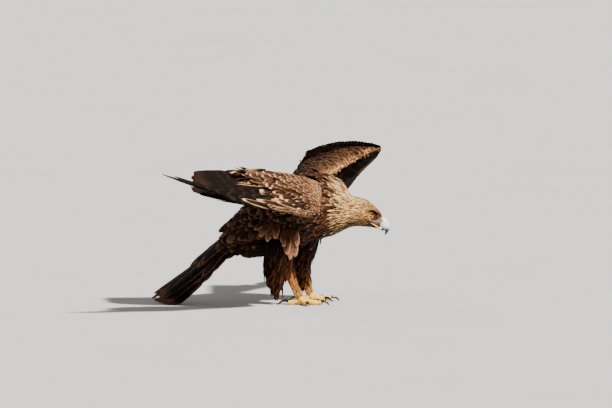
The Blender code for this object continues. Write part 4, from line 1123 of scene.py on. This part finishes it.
        # Where the arm narrows towards the wrist, its feathers are fewer and smaller.
        chord = np.linalg.norm(sheet[-1] - sheet[0], axis=1)
        share = np.interp(seeds[3] * (len(chord) - 1), np.arange(len(chord)), chord / chord.max())
        kept = (rng.random(len(share)) < share * 1.3) & (near_wing | (seeds[3] < 0.965) | (seeds[2] < 0.3))
        seeds = tuple(column[kept] for column in seeds)
        small = 0.45 + 0.55 * share[kept]
        along, across = seeds[2:]
        if not near_wing:
            small = small * (1 - 0.55 * np.clip(along * 2 - 0.6, 0, 1) * np.clip(1.6 - across * 2, 0, 1))
        tone = palette(looks["arm"] if upper else UNDER_WING_TONES, along)
        rim = read(ARM_RIMMED, along) * looks["arm_rim"] if upper else looks["under_arm_rim"]
        rim = np.clip(rim * rng.uniform(0.4, 1.2, len(along)), 0, 1)
        bundles.append(sown_feathers(
            cell, seeds, read(ARM_LENGTHS, along) * small, read(ARM_WIDTHS, along) * small, 0.0, tone, rim,
            1.8 + 6.4 * along, 8, MEDIUM, free=3.0, ruffle=2.4 * along, vary=0.24,
            sag=0.5 * along if upper and not near_wing else 0.0))
    # On the hand the small feathers lie towards the quills' tips.
    start = 0.0 if near_wing else 0.1
    roots, ways, along, across = sow(hand_rows(wing), lambda s: 7.0, start=start, stop=0.9)
    ways = unit(ways * 0.4 + unit(hand_aims[PRIMARIES // 2]))
    bundles.append(sown_feathers(
        hand_cell, (roots, ways, along, across), 34.0, 13.0, 0.3, looks["hand"], 0.5, 3.5, 7, MEDIUM,
        free=2.5))
    make_coat(f"wing_{wing_name}_small_feathers", bundles, looks["finish"])

# The trousers and the shanks: long loose feathers that hang round each thigh, and short golden ones,
# close as felt, down to the toes.
TROUSER_TONES = ((0, (48, 33, 24)), (0.5, (42, 28, 20)), (0.8, (50, 33, 22)), (1, (84, 54, 34)))
SHANK_TONES = ((0, (168, 110, 64)), (0.4, (218, 154, 90)), (1, (240, 188, 122)))
trouser_finish = plumage("trouser_plumage", srgb(132, 86, 52), fleck=0.35, rim_from=0.7)
shank_finish = plumage("shank_plumage", srgb(214, 168, 108), fleck=0.35, gloss=0.66)
for leg_name, leg in LEGS.items():
    roots, ways, along, across = sow(thigh_rows(leg, 60, 64), lambda s: 11.5 - 3.5 * s, start=0.12, stop=0.93)
    # The front of the trousers is more rufous.
    front = np.clip(np.cos(across * 2 * math.pi), 0, 1)
    tone = mix(palette(TROUSER_TONES, along), srgb(128, 82, 46), (0.65 * front * along)[:, None])
    bundle = sown_feathers(
        f"thigh_{leg_name}", (roots, ways, along, across), 66 - 26 * along, 20 - 8 * along, 0.7, tone, 0.5,
        9.0 - 4 * along, 8, MEDIUM, ruffle=7, yaw=13, sag=0.1, vary=0.3)
    make_coat(f"trousers_{leg_name}", [bundle], trouser_finish)
    seeds = sow(shank_rows(leg, 60, 48), lambda s: 5.0 - 1.6 * s, start=0.05, stop=0.97)
    along = seeds[2]
    tone = palette(SHANK_TONES, along)
    bundle = sown_feathers(
        f"shank_{leg_name}", seeds, 19 - 8 * along, 7.0 - 2.5 * along, 0.7, tone, 0.5, 2.6, 5, FINE,
        ruffle=0.8, yaw=9, free=2.0, thick=0.3)
    make_coat(f"shank_feathers_{leg_name}", [bundle], shank_finish)

# Old flank feathers hang from under the near wing in two loose groups. They are pale partly because they are
# worn and faded, and partly as painted sunlight below the wing's shadow.
FADED = (
    # Pixel of the root and of the tip in the picture, and half the width in millimetres.
    ((264, 222), (255, 229), 10), ((267, 222), (261, 236), 12), ((272, 222), (268, 241), 14),
    ((277, 223), (275, 238), 13), ((284, 229), (284, 246), 13), ((287, 228), (287, 254), 15),
    ((289, 229), (290, 259), 14), ((293, 228), (295, 256), 15), ((296, 229), (297, 246), 11),
)
ROOTS_AT, TIPS_AT = -92, -108   # how far they hang from the middle of the bird, towards the camera


def at_pixel(pixel, y):
    """The place in the bird's millimetres that a pixel shows, at a given depth."""
    across = (pixel[0] - ORIGIN_PIXEL[0]) * PIXEL
    up = (ORIGIN_PIXEL[1] - pixel[1]) * PIXEL
    return arr(across, y, (up - y * STEEP) / LEVEL)


roots = np.array([at_pixel(root, ROOTS_AT) for root, _, _ in FADED])
tips = np.array([at_pixel(tip, TIPS_AT) for _, tip, _ in FADED])
halves = np.array([half_width for _, _, half_width in FADED])
count = len(FADED)
half = outline(12, 0.25, root=0.5, widest=0.45) * halves[:, None]
# Their finish is pale from fading and from painted sunlight.
faded_lit_finish = plumage("faded_lit_plumage", srgb(206, 164, 130), fleck=0.7, streaks=60, rim_from=0.7)
facing = arr(0.1, -1, 0.2) + rng.normal(0, 0.28, (count, 3))
patches = patches_at("trunk", 0.7, 0.5 + 0.05 * np.arange(count) / count)
bundle = quills(
    roots, tips - roots, facing, np.linalg.norm(tips - roots, axis=1) * 1.02, half, half, 8, 12, BROAD,
    shades(srgb(150, 112, 88), count, 0.2), 0.5, patches, thick=0.5, ridge=0.5, notch=0.22)
make_coat("flank_plumes", [bundle], faded_lit_finish)

# The skin and the down on it: it takes the colours of the feathers over it, in deep shade, so that no bare
# patch shows between them.
DOWN_SHADE = 0.45
laid_points, laid_tones = (np.concatenate(column) for column in zip(*laid))
tree = KDTree(len(laid_points))
for k, point in enumerate(laid_points.tolist()):
    tree.insert(point, k)
tree.balance()
nearest = [tree.find(point)[1] for point in skin_points.tolist()]
tones = np.concatenate([laid_tones[nearest] * DOWN_SHADE, np.ones((len(nearest), 1))], 1)
skin.data.color_attributes.new("tone", "FLOAT_COLOR", "POINT").data.foreach_set("color", tones.ravel())
down_finish = Finish("down", Roughness=0.95, Specular_IOR_Level=0.03)
tone = down_finish.attribute("tone")
tufts = down_finish.noise(400.0)
down_finish.set("Base Color", down_finish.blend(tufts * 0.5, tone, down_finish.shaded(tone, (0.5, 0.5, 0.5))))
down_finish.bump(tufts, 0.6, 0.001)
dress(skin, down_finish)
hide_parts("torso", "neck", "head", "tail", "wing_right_arm", "wing_right_hand", "wing_left_arm",
            "wing_left_hand", "thigh_right", "thigh_left", "tarsus_right", "tarsus_left")

# The eyes: dark pupils in amber-brown irises under clear corneas, set deep below the brows, with naked
# lids round them.
LID_SPAN = math.radians(50)     # how far round the eyeball a lid goes to each side
LID_TILT = math.radians(8)
LIDS_OPEN = {"upper": 27, "lower": -38}     # how far above or below the pupil each lid's middle stays


def mark_share(made, shares, sides):
    """Marks each ring with its share of the way, which the finishes read, and the ends with 0 and 1."""
    shares = np.concatenate([np.repeat(shares, sides), [0, 1]])
    made.data.attributes.new("share", "FLOAT", "POINT").data.foreach_set("value", shares)


def ball(name, centre, radius, pole, sides=48, rings=32):
    """A ball whose pole points along a direction, marked with the share from that pole to the other one."""
    t = np.linspace(0, math.pi, rings + 1)[1:-1]
    turn = turns(sides)
    pole = unit(pole)
    side = unit(np.cross(pole, arr(0, 0, 1)))
    up = np.cross(side, pole)
    out = (np.cos(t)[:, None, None] * pole + np.sin(t)[:, None, None]
           * (np.cos(turn)[None, :, None] * side + np.sin(turn)[None, :, None] * up))
    made = loft(name, centre + out * radius)
    mark_share(made, t / math.pi, sides)
    return made


eye_finish = Finish(
    "eye_glass", Roughness=0.1, Specular_IOR_Level=0.22, Coat_Weight=0.08, Coat_Roughness=0.02)
share = eye_finish.attribute("share", "Fac")
# The irises are hazel brown, painted a little darker as shade from the brows.
iris = eye_finish.blend(eye_finish.noise(900.0), srgb(74, 46, 20), srgb(124, 84, 38))
iris = eye_finish.blend(share.ramp(0.19, 0.27), iris, srgb(20, 13, 9))
eye_finish.set("Base Color", eye_finish.blend(1 - share.ramp(0.125, 0.145), iris, (0.003, 0.002, 0.002)))
lid_finish, wrinkles = clouded(
    "lid_skin", 700.0, srgb(50, 38, 26), srgb(112, 88, 52), Roughness=0.7, Specular_IOR_Level=0.12)
lid_finish.bump(wrinkles, 0.5, 0.0006)
for side, word in ((-1, "right"), (1, "left")):
    eye = EYE_AT * arr(1, side, 1)
    pole = unit(arr(0.40, side * 0.90, -0.06))
    made = ball(f"eyeball_{word}", eye, EYE_RADIUS, pole)
    dress(made, eye_finish)
    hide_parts(f"eye_{word}")
    # Each lid is a thin fold that hugs the eyeball from the front corner to the rear one.
    look_side = unit(np.cross(arr(0, 0, 1), pole))
    look_up = np.cross(pole, look_side)
    t = np.linspace(-1, 1, 25)
    across = LID_SPAN * t
    fold = np.stack([1.5 - 0.6 * abs(t), 1.1 - 0.4 * abs(t)], -1)
    for lid, open_by in LIDS_OPEN.items():
        up = np.radians(open_by * (1 - abs(t) ** 2.2)) + LID_TILT * t * side
        out = (pole * (np.cos(across) * np.cos(up))[:, None]
               + look_side * np.sin(across)[:, None] + look_up * np.sin(up)[:, None])
        path = eye + unit(out) * (EYE_RADIUS + 0.5)
        dress(loft(f"lid_{word}_{lid}", tube_rows(path, fold, 12, across=look_up)), lid_finish)

# The bill: horn over bone, blue-grey at the root and black at the hook, with a yellow waxy cere, a
# nostril on each side and the yellow corner of the mouth running back under the eye.
UPPER_BILL = [
    # For each section: x and z of its middle, half its width and half its height.
    (243, 257.5, 13, 17.5), (251.5, 253, 12, 18), (258.5, 248, 9.8, 16.5), (264, 241, 7.8, 13.5),
    (268, 233, 5.6, 9.5), (268.3, 224, 3.6, 5.6), (265.5, 216.5, 2.0, 2.8), (263.2, 211.5, 0.7, 0.9),
]
LOWER_BILL = [
    (226, 242, 12, 4.5), (238, 237.5, 10.5, 5.2), (249, 232.5, 8, 5.2), (256, 229, 5, 4.0),
    (259.5, 226.5, 2.2, 2.2),
]
BILL_SIDES = 40
FOLD = 0.9                      # half the thickness of a fold of skin at its ends
NOSTRIL = arr([252.5, 11.9, 260], [254.5, 12.0, 257], [255.4, 11.8, 253.5])
horn_finish = Finish("bill_horn", Roughness=0.32, Coat_Weight=0.25, Coat_Roughness=0.2)
share = horn_finish.attribute("share", "Fac")
cloud = horn_finish.noise(120.0)
grain = horn_finish.noise(600.0)
hook = (share + (cloud - 0.5) * 0.12).ramp(0.46, 0.66)
horn = horn_finish.blend(hook, srgb(214, 219, 224), srgb(24, 24, 27))
cere = 1 - (share + (cloud - 0.5) * 0.06).ramp(0.14, 0.20)
horn = horn_finish.blend(cere, horn, horn_finish.blend(grain, srgb(206, 164, 52), srgb(232, 198, 92)))
horn_finish.set("Base Color", horn)
horn_finish.set("Roughness", 0.3 + cere * 0.25)
horn_finish.bump(grain, 0.2, 0.0004)
gape_finish, grain = clouded("gape_skin", 500.0, srgb(214, 170, 54), srgb(236, 204, 104), Roughness=0.5)
gape_finish.bump(grain, 0.3, 0.0005)
# The nostrils are rolls of skin painted near black, as the shade inside their openings.
nostril_shade_finish, _ = clouded("nostril_painted_shade", 300.0, srgb(14, 11, 9), srgb(30, 24, 18), Roughness=0.7)


def horn_part(name, rows, stations, power):
    rows = smooth_rows(rows, stations)
    path = np.stack([rows[:, 0], rows[:, 0] * 0, rows[:, 1]], 1)
    made = loft(name, tube_rows(path, rows[:, 2:], BILL_SIDES, power=power))
    mark_share(made, np.linspace(0, 1, stations), BILL_SIDES)
    dress(made, horn_finish)
    return made


def fold_of_skin(name, path, stations, ends, swell, sides, finish):
    """A thin roll of skin, thickest in its middle and tapered to both ends."""
    middle = np.sin(np.linspace(ends[0], math.pi - ends[1], stations))[:, None]
    rings = tube_rows(smooth_rows(path, stations), FOLD + arr(*swell) * middle, sides)
    dress(loft(name, rings), finish)


upper = horn_part("bill_upper_horn", UPPER_BILL, 48, 1.85)
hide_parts("bill_upper")
lower = horn_part("bill_lower_horn", LOWER_BILL, 30, 2.0)
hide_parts("bill_lower")
for side, word in ((-1, "right"), (1, "left")):
    flip = arr(1, side, 1)
    fold_of_skin(f"nostril_{word}", NOSTRIL * flip, 9, (0.25, 0.25), (0.5, 0.9), 12, nostril_shade_finish)
    fold_of_skin(f"gape_{word}", GAPE_LINE * flip, 16, (0.3, 0.5), (0.8, 0.9), 14, gape_finish)

# The feet: four toes of yellow horny skin with broad scutes on top and soft pads below, flat on the
# floor, each with a long black claw that curves down from its end.
TOE_RADIUS = 8.6
TOE_LINE = ((-0.05, 12), (0.25, 11.5), (0.55, 8.6), (0.80, 6.9), (1.0, 8.4))    # share of its length, height
SCUTE = 4.2                     # the length of one scute
CLAW_STEPS = 22
CLAW_RISE, CLAW_CURL = math.radians(26), math.radians(105.3)
CLAW_ARC = 1.12                 # a claw measured along its curve, for one millimetre straight across it
CLAW_WIDE, CLAW_DEEP, CLAW_TIP = 4.6, 5.2, 0.3
toe_finish = Finish("toe_skin", Roughness=0.5)
cells = toe_finish.node(
    "ShaderNodeTexVoronoi", {"feature": "DISTANCE_TO_EDGE"}, {"Vector": toe_finish.place, "Scale": 420.0})
skin_colour = toe_finish.blend(toe_finish.noise(60.0), srgb(252, 200, 56), srgb(255, 226, 100))
toe_finish.set("Base Color", toe_finish.blend(1 - cells.ramp(0.02, 0.12), skin_colour, srgb(150, 104, 34)))
toe_finish.bump(cells.ramp(0.0, 0.12), 0.7, 0.0008)
claw_finish, streak = clouded(
    "claw_horn", 240.0, srgb(20, 19, 20), srgb(48, 44, 42), Roughness=0.22, Coat_Weight=0.3,
    Coat_Roughness=0.15)
claw_finish.set("Roughness", 0.18 + streak * 0.2)


def toe_rings(path, length, across):
    t = np.linspace(0, 1, 41)
    pads = 0.05 * np.cos(t * 3 * 2 * math.pi)
    # The scutes on top overlap like tiles, so each step rises slowly and drops at once.
    scutes = 0.045 * ((t * length / SCUTE) % 1)
    wide = TOE_RADIUS * (1.04 - 0.26 * t + pads)
    return tube_rows(path, np.stack([wide, wide * (1 + scutes)], -1), 28, across=across)


def claw_rings(base, way, length, across):
    """A claw curves down from the end of its toe, and stays above the floor."""
    here = base - way * 3 + arr(0, 0, 1.5)
    path, sizes = [here], [(CLAW_WIDE, CLAW_DEEP)]
    for k in range(CLAW_STEPS):
        share = (k + 1) / CLAW_STEPS
        angle = CLAW_RISE - CLAW_CURL * (share - 0.5 / CLAW_STEPS)
        heading = way * math.cos(angle) + arr(0, 0, 1) * math.sin(angle)
        here = here + heading * length * CLAW_ARC / CLAW_STEPS
        sizes.append((CLAW_WIDE * (1 - share) ** 0.8 + CLAW_TIP, CLAW_DEEP * (1 - share) ** 0.75 + CLAW_TIP))
        path.append(arr(here[0], here[1], max(here[2], sizes[-1][1] + 0.2)))
    return tube_rows(path, sizes, 24, across=across)


for leg_name, leg in LEGS.items():
    start = arr(*leg["foot"], 0)
    pad = smooth_rows(start + arr([-10, 0, 12], [0, 0, 13], [10, 0, 12]), 9)
    shank = start + arr([-2, 0, 26], [-1, 0, 18], [0, 0, 10])
    pieces = [loft("pad", tube_rows(pad, smooth_rows([(7, 7), (15, 13), (8, 8)], 9), 32)),
              loft("shank", tube_rows(shank, [(10, 10), (11.5, 11.5), (13, 13)], 32))]
    for toe_name, (degrees, length, claw) in leg["toes"].items():
        a = math.radians(degrees)
        way, across = arr(math.cos(a), math.sin(a), 0), arr(-math.sin(a), math.cos(a), 0)
        path = smooth_rows([start + way * length * s + arr(0, 0, h) for s, h in TOE_LINE], 41)
        pieces.append(loft("toe", toe_rings(path, length, across)))
        made = loft(f"talon_{leg_name}_{toe_name}", claw_rings(path[-1], way, claw, across))
        dress(made, claw_finish)
        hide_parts(f"claw_{leg_name}_{toe_name}")
    foot = fuse(pieces, f"foot_{leg_name}_skin", 0.7, 2)
    for vertex in foot.data.vertices:
        vertex.co.z = max(vertex.co.z, 0.0)
    dress(foot, toe_finish)
    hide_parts(f"foot_{leg_name}")
